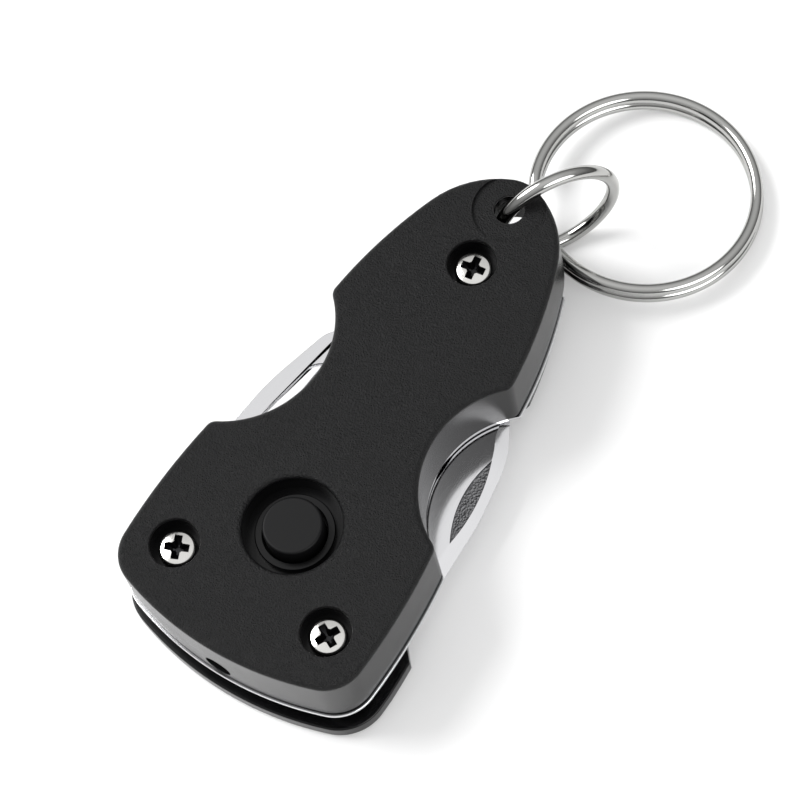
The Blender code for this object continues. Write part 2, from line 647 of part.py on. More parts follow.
def make_knife():
    side = 1
    edge_x = KNIFE_WIDTH - 2.1 * MM
    spine_x = -2.1 * MM
    corners = tool_eye(side, TANG_REACH) + [
        (edge_x + 0.2 * MM, 12.0 * MM, 3 * MM),
        (edge_x - 0.1 * MM, 22.0 * MM, 14 * MM),
        (3.6 * MM, 30.0 * MM, 12 * MM),
        (-0.6 * MM, KNIFE_LENGTH, 0.3 * MM),
        (spine_x, KNIFE_LENGTH - 7 * MM, 9 * MM),
        (spine_x, 4.6 * MM, 1.5 * MM),
    ]
    outline = fillet(corners)
    hole = circle(0, 0, BARREL_RADIUS + RUN_GAP, 24)
    top = SHEET_Z + SHEET_THICKNESS
    knife = add_mesh("knife_blade", plate_bm([outline, hole], SHEET_Z, top), polished_steel)
    nick = fillet([
        (3.5 * MM, 17.6 * MM, 0.3 * MM),
        (2.2 * MM, 29.2 * MM, 0.3 * MM),
        (1.3 * MM, 24.6 * MM, 6 * MM),
        (2.1 * MM, 19.6 * MM, 2.5 * MM),
    ])
    groove = cutter("nail_nick", plate_bm([nick], top - 0.35 * MM, top + 1 * MM))
    groove.location = (PIVOT_X, PIVOT_Y, 0)
    boolean(knife, groove)
    knife.location = (PIVOT_X, PIVOT_Y, 0)
    return knife


def make_opener():
    corners = tool_eye(-1, TANG_REACH - 0.4 * MM) + [
        (-5.2 * MM, 8.0 * MM, 4 * MM),
        (-6.5 * MM, 15.0 * MM, 8 * MM),
        (-5.6 * MM, 24.0 * MM, 30 * MM),
        (-2.9 * MM, 33.6 * MM, 4 * MM),
        (1.2 * MM, OPENER_LENGTH, 3 * MM),
        (3.4 * MM, 31.2 * MM, 1.4 * MM),
        (2.0 * MM, 28.6 * MM, 0.7 * MM),
        (0.2 * MM, 30.4 * MM, 1.6 * MM),
        (-2.4 * MM, 28.6 * MM, 2.4 * MM),
        (-4.0 * MM, 19.6 * MM, 4 * MM),
        (-2.2 * MM, 16.4 * MM, 1.4 * MM),
        (2.2 * MM, 17.4 * MM, 1.2 * MM),
        (3.0 * MM, 4.6 * MM, 2 * MM),
    ]
    hole = circle(0, 0, BARREL_RADIUS + RUN_GAP, 24)
    top = SHEET_Z + SHEET_THICKNESS
    outline = fillet(corners)
    opener = add_mesh("bottle_opener", plate_bm([outline, hole], SHEET_Z, top), polished_steel)
    opener.location = (-PIVOT_X, PIVOT_Y, 0)
    return opener


def driver_outline(tip_width):
    """A screwdriver's folded sheet in plan: wide channel, tapered nose, narrow tip."""
    half = CHANNEL_WIDTH / 2
    tip = tip_width / 2
    nose = DRIVER_LENGTH - DRIVER_TAPER
    return fillet([
        (-half, -half, half * 0.9),
        (half, -half, half * 0.9),
        (half, nose, 2 * MM),
        (tip, DRIVER_LENGTH, 0.25 * MM),
        (-tip, DRIVER_LENGTH, 0.25 * MM),
        (-half, nose, 2 * MM),
    ])


def make_driver(name, side, tip_width):
    """A screwdriver pressed from sheet into a channel that opens downwards."""
    top = CHANNEL_Z + CHANNEL_HEIGHT
    outline = driver_outline(tip_width)
    hole = circle(0, 0, BARREL_RADIUS + RUN_GAP, 24)
    driver = add_mesh(name, plate_bm([outline, hole], CHANNEL_Z, top), polished_steel)
    inner = CHANNEL_WIDTH / 2 - CHANNEL_SHEET
    nose = DRIVER_LENGTH - DRIVER_TAPER
    channel = fillet([
        (-inner, -CHANNEL_WIDTH, 0),
        (inner, -CHANNEL_WIDTH, 0),
        (inner, nose, 1.5 * MM),
        (0.5 * MM, DRIVER_LENGTH - 2.2 * MM, 0.3 * MM),
        (-0.5 * MM, DRIVER_LENGTH - 2.2 * MM, 0.3 * MM),
        (-inner, nose, 1.5 * MM),
    ])
    hollow = cutter(f"{name}_channel", plate_bm([channel], CHANNEL_Z - 1 * MM, top - CHANNEL_SHEET))
    hollow.location = (side * PIVOT_X, PIVOT_Y, 0)
    boolean(driver, hollow)
    driver.location = (side * PIVOT_X, PIVOT_Y, 0)
    return driver


def make_phillips_tip(driver):
    """Cuts the flutes of the cross tip into both sides of the driver's nose."""
    top = CHANNEL_Z + CHANNEL_HEIGHT
    for index, side in enumerate((-1, 1)):
        flute = fillet([
            (side * 0.32 * MM, DRIVER_LENGTH - 3.6 * MM, 0.1 * MM),
            (side * 2.4 * MM, DRIVER_LENGTH - 4.4 * MM, 0),
            (side * 2.4 * MM, DRIVER_LENGTH + 1 * MM, 0),
            (side * 0.32 * MM, DRIVER_LENGTH + 1 * MM, 0),
        ])
        lower = (CHANNEL_Z + top) / 2 + 0.25 * MM
        cut = cutter(f"flute_{index}", plate_bm([flute], lower, top + 1 * MM))
        cut.location = driver.location
        boolean(driver, cut)


# ---- push button -----------------------------------------------------------------
def make_button():
    flange_top = WELL_FLOOR_Z - WELL_FLOOR_THICKNESS - REST_GAP
    flange_bottom = flange_top - BUTTON_FLANGE_THICKNESS
    stem_bottom = BOARD_Z + BOARD_THICKNESS + 2 * REST_GAP + SWITCH_HEIGHT + PLUNGER_HEIGHT
    profile = [
        (0, BUTTON_TOP_Z),
        (BUTTON_RADIUS - 0.25 * MM, BUTTON_TOP_Z),
        (BUTTON_RADIUS, BUTTON_TOP_Z - 0.25 * MM),
        (BUTTON_RADIUS, flange_top),
        (BUTTON_FLANGE_RADIUS, flange_top),
        (BUTTON_FLANGE_RADIUS, flange_bottom),
        (BUTTON_RADIUS - 0.8 * MM, flange_bottom),
        (BUTTON_RADIUS - 0.8 * MM, BUTTON_TOP_Z - 1.2 * MM),
        (BUTTON_STEM_RADIUS, BUTTON_TOP_Z - 1.2 * MM),
        (BUTTON_STEM_RADIUS, stem_bottom + BUTTON_TRAVEL),
        (0, stem_bottom + BUTTON_TRAVEL),
    ]
    return turned("push_button", profile, (0, BUTTON_Y, 0), matt_rubber, 40)


# ---- lamp and electronics --------------------------------------------------------
def make_lamp():
    tip = LAMP_LENGTH
    profile = [(LAMP_RADIUS * sin(a), tip - LAMP_RADIUS + LAMP_RADIUS * cos(a))
               for a in (0, pi / 8, pi / 4, 3 * pi / 8, pi / 2)]
    profile += [
        (LAMP_RADIUS, LAMP_FLANGE_THICKNESS),
        (LAMP_FLANGE_RADIUS, LAMP_FLANGE_THICKNESS),
        (LAMP_FLANGE_RADIUS, 0),
        (0, 0),
    ]
    back_y = WIDE_END_Y + LAMP_SETBACK + LAMP_LENGTH
    lamp = turned("led_lamp", profile, (0, back_y, LAMP_Z), clear_epoxy, 24)
    lamp.rotation_euler = (pi / 2, 0, 0)
    for leg_name, side in (("left", -0.5), ("right", 0.5)):
        bm = rod_bm(side * LEG_PITCH, 0, -1.1 * MM, -REST_GAP, LEG_RADIUS, steps=8)
        leg = add_mesh(f"lamp_leg_{leg_name}", bm, tinned_copper)
        leg.location = (0, back_y, LAMP_Z)
        leg.rotation_euler = (pi / 2, 0, 0)
    return lamp


def make_board():
    y0 = WIDE_END_Y + BOARD_FRONT_FROM_END
    y1 = BOARD_BACK_Y
    half = BOARD_WIDTH / 2
    bm = box_bm(-half, half, y0, y1, BOARD_Z, BOARD_Z + BOARD_THICKNESS)
    board = add_mesh("circuit_board", bm, green_board)
    base = BOARD_Z + BOARD_THICKNESS + REST_GAP
    half = SWITCH_SIZE / 2
    bm = box_bm(-half, half, BUTTON_Y - half, BUTTON_Y + half, base, base + SWITCH_HEIGHT)
    switch = add_mesh("tact_switch", bm, polished_steel)
    base += SWITCH_HEIGHT - 0.1 * MM
    plunger = rod_bm(0, BUTTON_Y, base, base + PLUNGER_HEIGHT, PLUNGER_RADIUS, steps=20)
    boolean(switch, cutter("switch_plunger", plunger), "UNION")
    return board


def make_battery():
    z = TOP_COVER_Z
    y0 = CELL_Y - TRAY_LENGTH / 2
    y1 = CELL_Y + TRAY_LENGTH / 2
    half = TRAY_WIDTH / 2
    tray = add_mesh("battery_tray", box_bm(-half, half, y0, y1, z, z + TRAY_HEIGHT), black_plastic)
    pocket = rod_bm(0, CELL_Y, z + TRAY_FLOOR, 20 * MM, CELL_RADIUS + REST_GAP, steps=48)
    boolean(tray, cutter("cell_pocket", pocket))
    for index in range(2):
        z0 = CELL_Z + index * (CELL_THICKNESS + REST_GAP)
        bm = rod_bm(0, CELL_Y, z0, z0 + CELL_THICKNESS, CELL_RADIUS, steps=40)
        cell = add_mesh(f"coin_cell_{index + 1}", bm, polished_steel)
        smooth(cell)
    thin = CONTACT_THICKNESS
    half = CONTACT_WIDTH / 2
    z0 = CELL_Z - REST_GAP - thin
    bm = box_bm(-half, half, CELL_Y - 5 * MM, CELL_Y + 5 * MM, z0, z0 + thin)
    add_mesh("negative_contact", bm, tinned_copper)
    z1 = CELL_STACK_TOP_Z + REST_GAP
    back_y = BOARD_BACK_Y
    bm = box_bm(-half, half, back_y - 1.2 * MM, CELL_Y + 4 * MM, z1, z1 + thin)
    strip = add_mesh("positive_contact", bm, tinned_copper)
    leg_bottom = BOARD_Z + BOARD_THICKNESS + REST_GAP
    bm = box_bm(-half, half, back_y - 1.2 * MM, back_y - 1.2 * MM + thin, leg_bottom, z1 + thin)
    boolean(strip, cutter("contact_leg", bm), "UNION")


# ---- rings -----------------------------------------------------------------------
def make_jump_ring():
    """A slightly oval wire ring standing in an upright plane, through the hole at the tip."""
    heading = (sin(RING_HEADING), cos(RING_HEADING))
    points = []
    for i in range(41):
        angle = pi + JUMP_SPLIT / 2 + (2 * pi - JUMP_SPLIT) * i / 40
        reach = JUMP_CENTRE_REACH + JUMP_HALF_WIDTH * cos(angle)
        z = JUMP_CENTRE_Z + JUMP_HALF_HEIGHT * sin(angle)
        points.append((heading[0] * reach, heading[1] * reach, z))
    ring = wire("jump_ring", points, JUMP_WIRE, polished_steel)
    ring.location = (0, RING_HOLE_Y, 0)
    return ring


def make_key_ring():
    """A double coil: the wire climbs one thickness between its two turns."""
    mean = KEY_OUTER_RADIUS - KEY_WIRE / 2
    pitch = KEY_WIRE + COIL_GAP
    near_reach = KEY_RING_REACH - mean
    across = (near_reach - JUMP_CENTRE_REACH) / (JUMP_HALF_WIDTH - JUMP_WIRE / 2)
    near_z = JUMP_CENTRE_Z - (JUMP_HALF_HEIGHT - JUMP_WIRE / 2) * sqrt(1 - across * across)
    near_z += REST_GAP + KEY_WIRE / 2 + pitch / 2
    far_z = KEY_WIRE / 2 + pitch / 2
    tilt = atan2(near_z - far_z, 2 * mean)
    start = CLIMB_MIDDLE + COIL_END_ANGLE
    stop = CLIMB_MIDDLE + 4 * pi - COIL_END_ANGLE
    points = []
    for i in range(85):
        angle = start + (stop - start) * i / 84
        climb = (angle - CLIMB_MIDDLE - 2 * pi) / CLIMB_HALF_ANGLE / 2 + 0.5
        climb = min(max(climb, 0), 1)
        lift = pitch * (climb * climb * (3 - 2 * climb) - 0.5)
        along = mean * cos(angle)
        points.append((mean * sin(angle), along + mean * cos(tilt), lift - (along + mean) * tilt))
    ring = wire("key_ring", points, KEY_WIRE, polished_steel)
    place = RING_HOLE_Y + near_reach * cos(RING_HEADING)
    ring.location = (near_reach * sin(RING_HEADING), place, near_z)
    ring.rotation_euler = (0, 0, -RING_HEADING)
    return ring


# ---- build -----------------------------------------------------------------------
for item in list(bpy.data.objects):
    bpy.data.objects.remove(item)
parts = bpy.data.collections.new(OBJECT_NAME)
cutters = bpy.data.collections.new("cutters")
bpy.context.scene.collection.children.link(parts)
bpy.context.scene.collection.children.link(cutters)

black_plastic = paint("black_plastic", 44, 44, 45, 0.5, 0.0)
matt_rubber = paint("matt_rubber", 50, 50, 50, 0.6, 0.0)
polished_steel = paint("polished_steel", 205, 206, 208, 0.18, 1.0)
tinned_copper = paint("tinned_copper", 190, 188, 182, 0.3, 1.0)
clear_epoxy = paint("clear_epoxy", 228, 232, 236, 0.1, 0.0)
green_board = paint("green_board", 28, 92, 58, 0.5, 0.0)

make_top_cover()
make_bottom_cover()
for barrel_name, (barrel_x, barrel_y) in BARRELS.items():
    make_barrel(barrel_name, barrel_x, barrel_y)
    make_screw(barrel_name, barrel_x, barrel_y)
make_liner()
make_spacer()
make_knife()
make_opener()
make_driver("flat_screwdriver", -1, FLAT_TIP_WIDTH)
make_phillips_tip(make_driver("phillips_screwdriver", 1, CROSS_TIP_WIDTH))
make_button()
make_lamp()
make_board()
make_battery()
make_jump_ring()
make_key_ring()
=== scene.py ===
"""Keychain multi tool with a lamp, built up in the order it goes together:
covers, steel plates, folding tools, screws, button, lamp, rings, then the studio."""

import json
from math import atan2, cos, hypot, pi, radians, sin, sqrt

import bpy
import bmesh
from mathutils import Matrix, Vector


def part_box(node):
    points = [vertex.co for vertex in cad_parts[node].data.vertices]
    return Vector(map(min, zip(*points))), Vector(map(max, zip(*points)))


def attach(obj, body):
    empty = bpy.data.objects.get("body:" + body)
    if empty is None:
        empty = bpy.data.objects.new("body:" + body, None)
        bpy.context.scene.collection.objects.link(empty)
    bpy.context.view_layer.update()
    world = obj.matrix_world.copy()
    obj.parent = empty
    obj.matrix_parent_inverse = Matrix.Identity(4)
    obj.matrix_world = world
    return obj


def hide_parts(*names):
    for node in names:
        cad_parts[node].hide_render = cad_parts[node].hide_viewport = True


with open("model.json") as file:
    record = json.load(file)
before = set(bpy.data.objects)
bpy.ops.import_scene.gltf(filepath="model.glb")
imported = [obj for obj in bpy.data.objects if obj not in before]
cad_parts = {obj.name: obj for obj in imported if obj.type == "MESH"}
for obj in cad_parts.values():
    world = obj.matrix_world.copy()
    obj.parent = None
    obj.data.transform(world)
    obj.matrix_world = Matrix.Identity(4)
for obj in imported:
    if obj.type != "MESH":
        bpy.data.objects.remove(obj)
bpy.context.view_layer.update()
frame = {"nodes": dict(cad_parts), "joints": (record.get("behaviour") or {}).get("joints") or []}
cad = frame["nodes"]
joints = {joint["name"]: joint for joint in frame["joints"]}
MM = 0.001

# ---- top cover -------------------------------------------------------------------
# A deep shell of black ABS, injection moulded. Its top face has a fine spark-eroded
# grain and its walls are smooth. Three screw recesses, the button's well, the ring hole
# and the lamp's window are moulded in.
COVER_LOW, COVER_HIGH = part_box("top_cover")
WIDE_END_Y, TIP_Y = COVER_LOW.y, COVER_HIGH.y
BODY_TOP_Z = COVER_HIGH.z
WIDE_END_RADIUS = 40 * MM
SIDE_RADIUS = 80 * MM
SIDE_WIDEST_FROM_END = 10.8 * MM
WIDE_CORNER_RADIUS = 4.8 * MM
WAIST_RADIUS = 12.2 * MM
WAIST_HALF_WIDTH = 8.05 * MM
WAIST_FROM_END = 33.7 * MM
WAIST_CORNER_RADIUS = 1.4 * MM
FLANK_RADIUS = 58 * MM
FLANK_HALF_WIDTH = 12.4 * MM
FLANK_WIDEST_FROM_END = 38 * MM
SHOULDER_RADIUS = 12 * MM
TIP_RADIUS = 5 * MM
TOP_EDGE_ROUND = 0.68 * MM
COVER_WALL = 1.2 * MM
COVER_ROOF = 1.2 * MM
BOSS_WALL = 0.9 * MM
ROOF_Z = BODY_TOP_Z - COVER_ROOF
SCREW_RECESS_RADIUS = 2.9 * MM
SCREW_RECESS_DEPTH = 2.8 * MM
SCREW_SEAT_Z = BODY_TOP_Z - SCREW_RECESS_DEPTH
SCREW_HOLE_RADIUS = 1.25 * MM
BARREL_HOLE_RADIUS = 1.76 * MM
BARREL_TOP_Z = SCREW_SEAT_Z - 1.2 * MM
BUTTON_WELL_RADIUS = 5.7 * MM
BUTTON_WELL_DEPTH = 3.1 * MM
BUTTON_COLLAR_RADIUS = 4.6 * MM
BUTTON_COLLAR_RISE = 0.8 * MM
BUTTON_HOLE_RADIUS = 3.7 * MM
WELL_LIP = 0.5 * MM
WELL_FLARE = 0.55 * MM
WELL_WALL = 0.9 * MM
SPOTFACE_RADIUS = 4.3 * MM
SPOTFACE_DEPTH = 0.35 * MM
RING_HOLE_RADIUS = 1.8 * MM
RING_CHAMBER_RADIUS = 3.1 * MM
RING_CHAMBER_DEPTH = 1.9 * MM
RING_CHAMBER_SLOPE = 0.2 * MM
WINDOW_RADIUS = 1.65 * MM
GRAIN_SIZE = 0.2 * MM
GRAIN_DEPTH = 0.2 * MM
GRAIN_STARTS_BELOW, GRAIN_FULL_BELOW = 0.6 * MM, 0.42 * MM
RECESS_LIP = 0.14 * MM
SPOTFACE_LIP = 0.08 * MM
RING_HOLE_LIP = 0.06 * MM
COLLAR_INNER_EDGE, COLLAR_OUTER_EDGE = 0.1 * MM, 0.12 * MM
NOSE_HALF_WIDTH = 12 * MM
ABOVE_TOOLS_Z = 9 * MM


def arc(centre, radius, start, end, steps):
    """Points on a circle from one angle to another, without the first."""
    turns = [start + (end - start) * i / steps for i in range(1, steps + 1)]
    return [(centre[0] + radius * cos(a), centre[1] + radius * sin(a)) for a in turns]


def circle(radius, steps=64, x=0.0, y=0.0):
    return arc((x, y), radius, 0, 2 * pi, steps)


def meet(centre_a, radius_a, centre_b, radius_b, side):
    """Where two circles cross, on the chosen side (+1 left, -1 right) of A to B."""
    dx = centre_b[0] - centre_a[0]
    dy = centre_b[1] - centre_a[1]
    gap = hypot(dx, dy)
    along = (gap * gap + radius_a * radius_a - radius_b * radius_b) / (2 * gap)
    across = side * sqrt(radius_a * radius_a - along * along)
    x = centre_a[0] + (dx * along - dy * across) / gap
    y = centre_a[1] + (dy * along + dx * across) / gap
    return (x, y)


def bearing(centre, point):
    return atan2(point[1] - centre[1], point[0] - centre[0])


def housing_outline(inset):
    """The housing from above, drawn inwards by inset: nine tangent arcs on each side."""
    end = (0.0, WIDE_END_Y + WIDE_END_RADIUS)
    side = (COVER_HIGH.x - SIDE_RADIUS, WIDE_END_Y + SIDE_WIDEST_FROM_END)
    waist = (WAIST_HALF_WIDTH + WAIST_RADIUS, WIDE_END_Y + WAIST_FROM_END)
    flank = (FLANK_HALF_WIDTH - FLANK_RADIUS, WIDE_END_Y + FLANK_WIDEST_FROM_END)
    tip = (0.0, TIP_Y - TIP_RADIUS)
    wide = WIDE_CORNER_RADIUS
    small = WAIST_CORNER_RADIUS
    corner_a = meet(end, WIDE_END_RADIUS - wide, side, SIDE_RADIUS - wide, 1)
    corner_b = meet(side, SIDE_RADIUS - small, waist, WAIST_RADIUS + small, -1)
    corner_c = meet(waist, WAIST_RADIUS + small, flank, FLANK_RADIUS - small, -1)
    corner_d = meet(flank, FLANK_RADIUS - SHOULDER_RADIUS, tip, SHOULDER_RADIUS - TIP_RADIUS, -1)
    arcs = [
        (end, WIDE_END_RADIUS, -pi / 2, bearing(end, corner_a), 16),
        (corner_a, wide, bearing(end, corner_a), bearing(side, corner_a), 16),
        (side, SIDE_RADIUS, bearing(side, corner_a), bearing(side, corner_b), 8),
        (corner_b, small, bearing(side, corner_b), bearing(corner_b, waist), 8),
        (waist, -WAIST_RADIUS, bearing(waist, corner_b) + 2 * pi, bearing(waist, corner_c), 36),
        (corner_c, small, bearing(corner_c, waist), bearing(flank, corner_c), 8),
        (flank, FLANK_RADIUS, bearing(flank, corner_c), bearing(flank, corner_d), 14),
        (corner_d, SHOULDER_RADIUS, bearing(flank, corner_d), bearing(corner_d, tip), 8),
        (tip, TIP_RADIUS, bearing(corner_d, tip), pi / 2, 14),
    ]
    half = []
    for centre, radius, start, stop, steps in arcs:
        grown = max(abs(radius) + (inset if radius < 0 else -inset), 0.02 * MM)
        half += arc(centre, grown, start, stop, steps)
    left = [(-x, y) for x, y in reversed(half[:-1])]
    return half + left + [(0.0, WIDE_END_Y + inset)]


def loft(loops):
    """A closed solid through outlines with the same number of points, from (points, z)."""
    bm = bmesh.new()
    rings = [[bm.verts.new((x, y, z)) for x, y in points] for points, z in loops]
    for low, high in zip(rings, rings[1:]):
        for i in range(len(low)):
            bm.faces.new((low[i - 1], low[i], high[i], high[i - 1]))
    bm.faces.new(list(reversed(rings[0])))
    bm.faces.new(rings[-1])
    bmesh.ops.recalc_face_normals(bm, faces=bm.faces[:])
    return bm


def lathe(profile, x=0.0, y=0.0, steps=96):
    """A closed body of revolution about an upright axis, from (radius, z) upwards."""
    return loft([(circle(radius, steps, x, y), z) for radius, z in profile])


def rounded_top(outline, z0, z1, radius, steps=6, radius_below=0.0):
    """A prism whose upper edge, and its lower edge if asked, is rounded."""
    loops = []
    if radius_below:
        for i in range(steps + 1):
            a = pi / 2 * i / steps
            loops.append((outline(radius_below * (1 - sin(a))), z0 + radius_below * (1 - cos(a))))
    else:
        loops.append((outline(0), z0))
    for i in range(steps + 1):
        a = pi / 2 * i / steps
        loops.append((outline(radius * (1 - cos(a))), z1 - radius + radius * sin(a)))
    return loft(loops)


def as_object(name, bm, material=None):
    mesh = bpy.data.meshes.new(name)
    bm.to_mesh(mesh)
    bm.free()
    item = bpy.data.objects.new(name, mesh)
    bpy.context.scene.collection.objects.link(item)
    if material:
        mesh.materials.append(material)
    return item


def baked(item, name=None):
    """The object's evaluated mesh as a plain object at the origin; the old one goes."""
    graph = bpy.context.evaluated_depsgraph_get()
    mesh = bpy.data.meshes.new_from_object(item.evaluated_get(graph))
    mesh.transform(item.matrix_world)
    fresh = bpy.data.objects.new(name or item.name, mesh)
    mesh.name = fresh.name
    bpy.context.scene.collection.objects.link(fresh)
    old = item.name
    bpy.data.objects.remove(item)
    if not name:
        fresh.name = old
    return fresh


def carve(item, tools, operation="DIFFERENCE"):
    """Cuts each tool out of the object, or joins it on, and returns the plain result."""
    for tool in tools:
        modifier = item.modifiers.new("carve", "BOOLEAN")
        modifier.object = tool
        modifier.operation = operation
        modifier.material_mode = "TRANSFER"
    bpy.context.view_layer.update()
    result = baked(item)
    for tool in tools:
        bpy.data.objects.remove(tool)
    return result


def finish_piece(item, body, slot, *stands_for, crease=32):
    """Smooth shading with crisp edges, then the piece joins its CAD body."""
    bm = bmesh.new()
    bm.from_mesh(item.data)
    bmesh.ops.remove_doubles(bm, verts=bm.verts, dist=0.0005 * MM)
    bm.to_mesh(item.data)
    bm.free()
    item.data.shade_smooth()
    item.data.set_sharp_from_angle(angle=radians(crease))
    weighted = item.modifiers.new("even shading", "WEIGHTED_NORMAL")
    weighted.keep_sharp = True
    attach(item, body)
    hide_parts(*stands_for)


def linear(hex_colour):
    """An sRGB hex colour as the linear RGBA that shaders take."""
    channels = [int(hex_colour[i:i + 2], 16) / 255 for i in (1, 3, 5)]
    curve = [c / 12.92 if c <= 0.04045 else ((c + 0.055) / 1.055) ** 2.4 for c in channels]
    return (*curve, 1.0)


def add_node(tree, kind, settings, inputs):
    """One shader node: its properties, then values or links for its inputs."""
    made = tree.nodes.new(kind)
    for key, value in settings.items():
        setattr(made, key, value)
    for key, value in inputs.items():
        if isinstance(value, bpy.types.NodeSocket):
            tree.links.new(value, made.inputs[key])
        else:
            made.inputs[key].default_value = value
    return made


def new_material(name, colour, roughness, metallic=0.0, **sockets):
    """A Principled material; returns it with its tree, shader and object coordinates."""
    material = bpy.data.materials.new(name)
    material.use_nodes = True
    material.diffuse_color = linear(colour)
    tree = material.node_tree
    shader = tree.nodes["Principled BSDF"]
    shader.inputs["Base Color"].default_value = linear(colour)
    shader.inputs["Roughness"].default_value = roughness
    shader.inputs["Metallic"].default_value = metallic
    for key, value in sockets.items():
        shader.inputs[key.replace("_", " ")].default_value = value
    place = add_node(tree, "ShaderNodeTexCoord", {}, {}).outputs["Object"]
    return material, tree, shader, place


# Moulded ABS: nearly black, with a satin gloss. The top face has spark-eroded grain
# about 0.2 mm wide that breaks the gloss into fine specks; every wall below is smooth.
abs_plastic, tree, shader, place = new_material(
    "moulded_black_abs", "#070708", 0.42, Specular_IOR_Level=0.23)
height = add_node(tree, "ShaderNodeSeparateXYZ", {}, {"Vector": place}).outputs["Z"]
on_top = add_node(tree, "ShaderNodeMapRange", {}, {
    "Value": height,
    "From Min": BODY_TOP_Z - GRAIN_STARTS_BELOW,
    "From Max": BODY_TOP_Z - GRAIN_FULL_BELOW,
}).outputs["Result"]
grain = add_node(tree, "ShaderNodeTexNoise", {}, {
    "Vector": place, "Scale": 1 / GRAIN_SIZE, "Detail": 2.0, "Roughness": 0.6,
})
mottle = add_node(tree, "ShaderNodeTexNoise", {}, {"Vector": place, "Scale": 1 / (3 * MM)})
bumped = add_node(tree, "ShaderNodeMath", {"operation": "MULTIPLY"}, {
    0: grain.outputs["Fac"], 1: on_top,
})
bump = add_node(tree, "ShaderNodeBump", {}, {
    "Height": bumped.outputs[0], "Strength": 1.0, "Distance": GRAIN_DEPTH,
})
tree.links.new(bump.outputs["Normal"], shader.inputs["Normal"])
gloss = add_node(tree, "ShaderNodeMapRange", {}, {
    "Value": mottle.outputs["Fac"], "To Min": 0.2, "To Max": 0.28,
})
rough = add_node(tree, "ShaderNodeMix", {"data_type": "FLOAT"}, {
    0: on_top, 2: gloss.outputs["Result"], 3: 0.44,
})
tree.links.new(rough.outputs[0], shader.inputs["Roughness"])

screw_nodes = ("left_pivot_screw", "right_pivot_screw", "tip_screw")
screw_places = []
for node_name in screw_nodes:
    low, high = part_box(node_name)
    screw_places.append(((low.x + high.x) / 2, (low.y + high.y) / 2))
button_low, button_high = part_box("push_button")
BUTTON_Y = (button_low.y + button_high.y) / 2
RING_HOLE_Y = joints["jump_ring_swivel"]["pos_m"][1]
WELL_FLOOR_Z = BODY_TOP_Z - BUTTON_WELL_DEPTH
lamp_low, lamp_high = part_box("led_lamp")
LAMP_Z = (lamp_low.z + lamp_high.z) / 2


def lipped_hole(radius, floor_z, top_z, lip, x, y):
    """A cutter for a round hole whose mouth is rounded by lip."""
    profile = [(radius, floor_z)]
    for i in range(5):
        a = pi / 2 * i / 4
        profile.append((radius + lip * (1 - cos(a)), top_z - lip + lip * sin(a)))
    profile.append((radius + lip, top_z + 1 * MM))
    return lathe(profile, x, y)


top_cover = as_object(
    "cover_top_moulded",
    rounded_top(housing_outline, COVER_LOW.z, BODY_TOP_Z, TOP_EDGE_ROUND, 7),
    abs_plastic,
)
hollow = as_object("hollow", loft([
    (housing_outline(COVER_WALL), COVER_LOW.z - 1 * MM),
    (housing_outline(COVER_WALL), ROOF_Z),
]), abs_plastic)
kept = [
    as_object("boss", lathe([
        (SCREW_RECESS_RADIUS + BOSS_WALL, COVER_LOW.z - 2 * MM),
        (SCREW_RECESS_RADIUS + BOSS_WALL, BODY_TOP_Z),
    ], x, y, 48))
    for x, y in screw_places
]
kept.append(as_object("well", lathe([
    (BUTTON_WELL_RADIUS + WELL_WALL, WELL_FLOOR_Z - WELL_WALL),
    (BUTTON_WELL_RADIUS + WELL_WALL, BODY_TOP_Z),
], 0, BUTTON_Y)))
boss_back_y = RING_HOLE_Y - RING_CHAMBER_RADIUS - COVER_WALL
kept.append(as_object("nose", loft([
    ([
        (-NOSE_HALF_WIDTH, boss_back_y), (NOSE_HALF_WIDTH, boss_back_y),
        (NOSE_HALF_WIDTH, TIP_Y + MM), (-NOSE_HALF_WIDTH, TIP_Y + MM),
    ], z)
    for z in (COVER_LOW.z - 2 * MM, BODY_TOP_Z)
])))
hollow = carve(hollow, kept)
cutters = [hollow]
for x, y in screw_places:
    cutters.append(as_object("recess", lipped_hole(
        SCREW_RECESS_RADIUS, SCREW_SEAT_Z, BODY_TOP_Z, RECESS_LIP, x, y)))
    cutters.append(as_object("barrel_room", lathe([
        (BARREL_HOLE_RADIUS, COVER_LOW.z - MM), (BARREL_HOLE_RADIUS, BARREL_TOP_Z),
        (SCREW_HOLE_RADIUS, BARREL_TOP_Z), (SCREW_HOLE_RADIUS, SCREW_SEAT_Z + 0.5 * MM),
    ], x, y)))
well_profile = [
    (BUTTON_HOLE_RADIUS, WELL_FLOOR_Z - 3 * MM),
    (BUTTON_HOLE_RADIUS, WELL_FLOOR_Z + BUTTON_COLLAR_RISE - COLLAR_INNER_EDGE),
    (BUTTON_HOLE_RADIUS + COLLAR_INNER_EDGE, WELL_FLOOR_Z + BUTTON_COLLAR_RISE),
    (BUTTON_COLLAR_RADIUS - COLLAR_OUTER_EDGE, WELL_FLOOR_Z + BUTTON_COLLAR_RISE),
    (BUTTON_COLLAR_RADIUS, WELL_FLOOR_Z + BUTTON_COLLAR_RISE - COLLAR_OUTER_EDGE),
    (BUTTON_COLLAR_RADIUS, WELL_FLOOR_Z),
    (BUTTON_WELL_RADIUS, WELL_FLOOR_Z),
    (BUTTON_WELL_RADIUS, BODY_TOP_Z - WELL_LIP),
]
for i in range(1, 7):
    a = pi / 2 * i / 6
    well_profile.append((
        BUTTON_WELL_RADIUS + WELL_FLARE * (1 - cos(a)),
        BODY_TOP_Z - WELL_LIP + WELL_LIP * sin(a),
    ))
well_profile.append((BUTTON_WELL_RADIUS + WELL_FLARE, BODY_TOP_Z + 1 * MM))
cutters.append(as_object("button_well", lathe(well_profile, 0, BUTTON_Y, 128)))
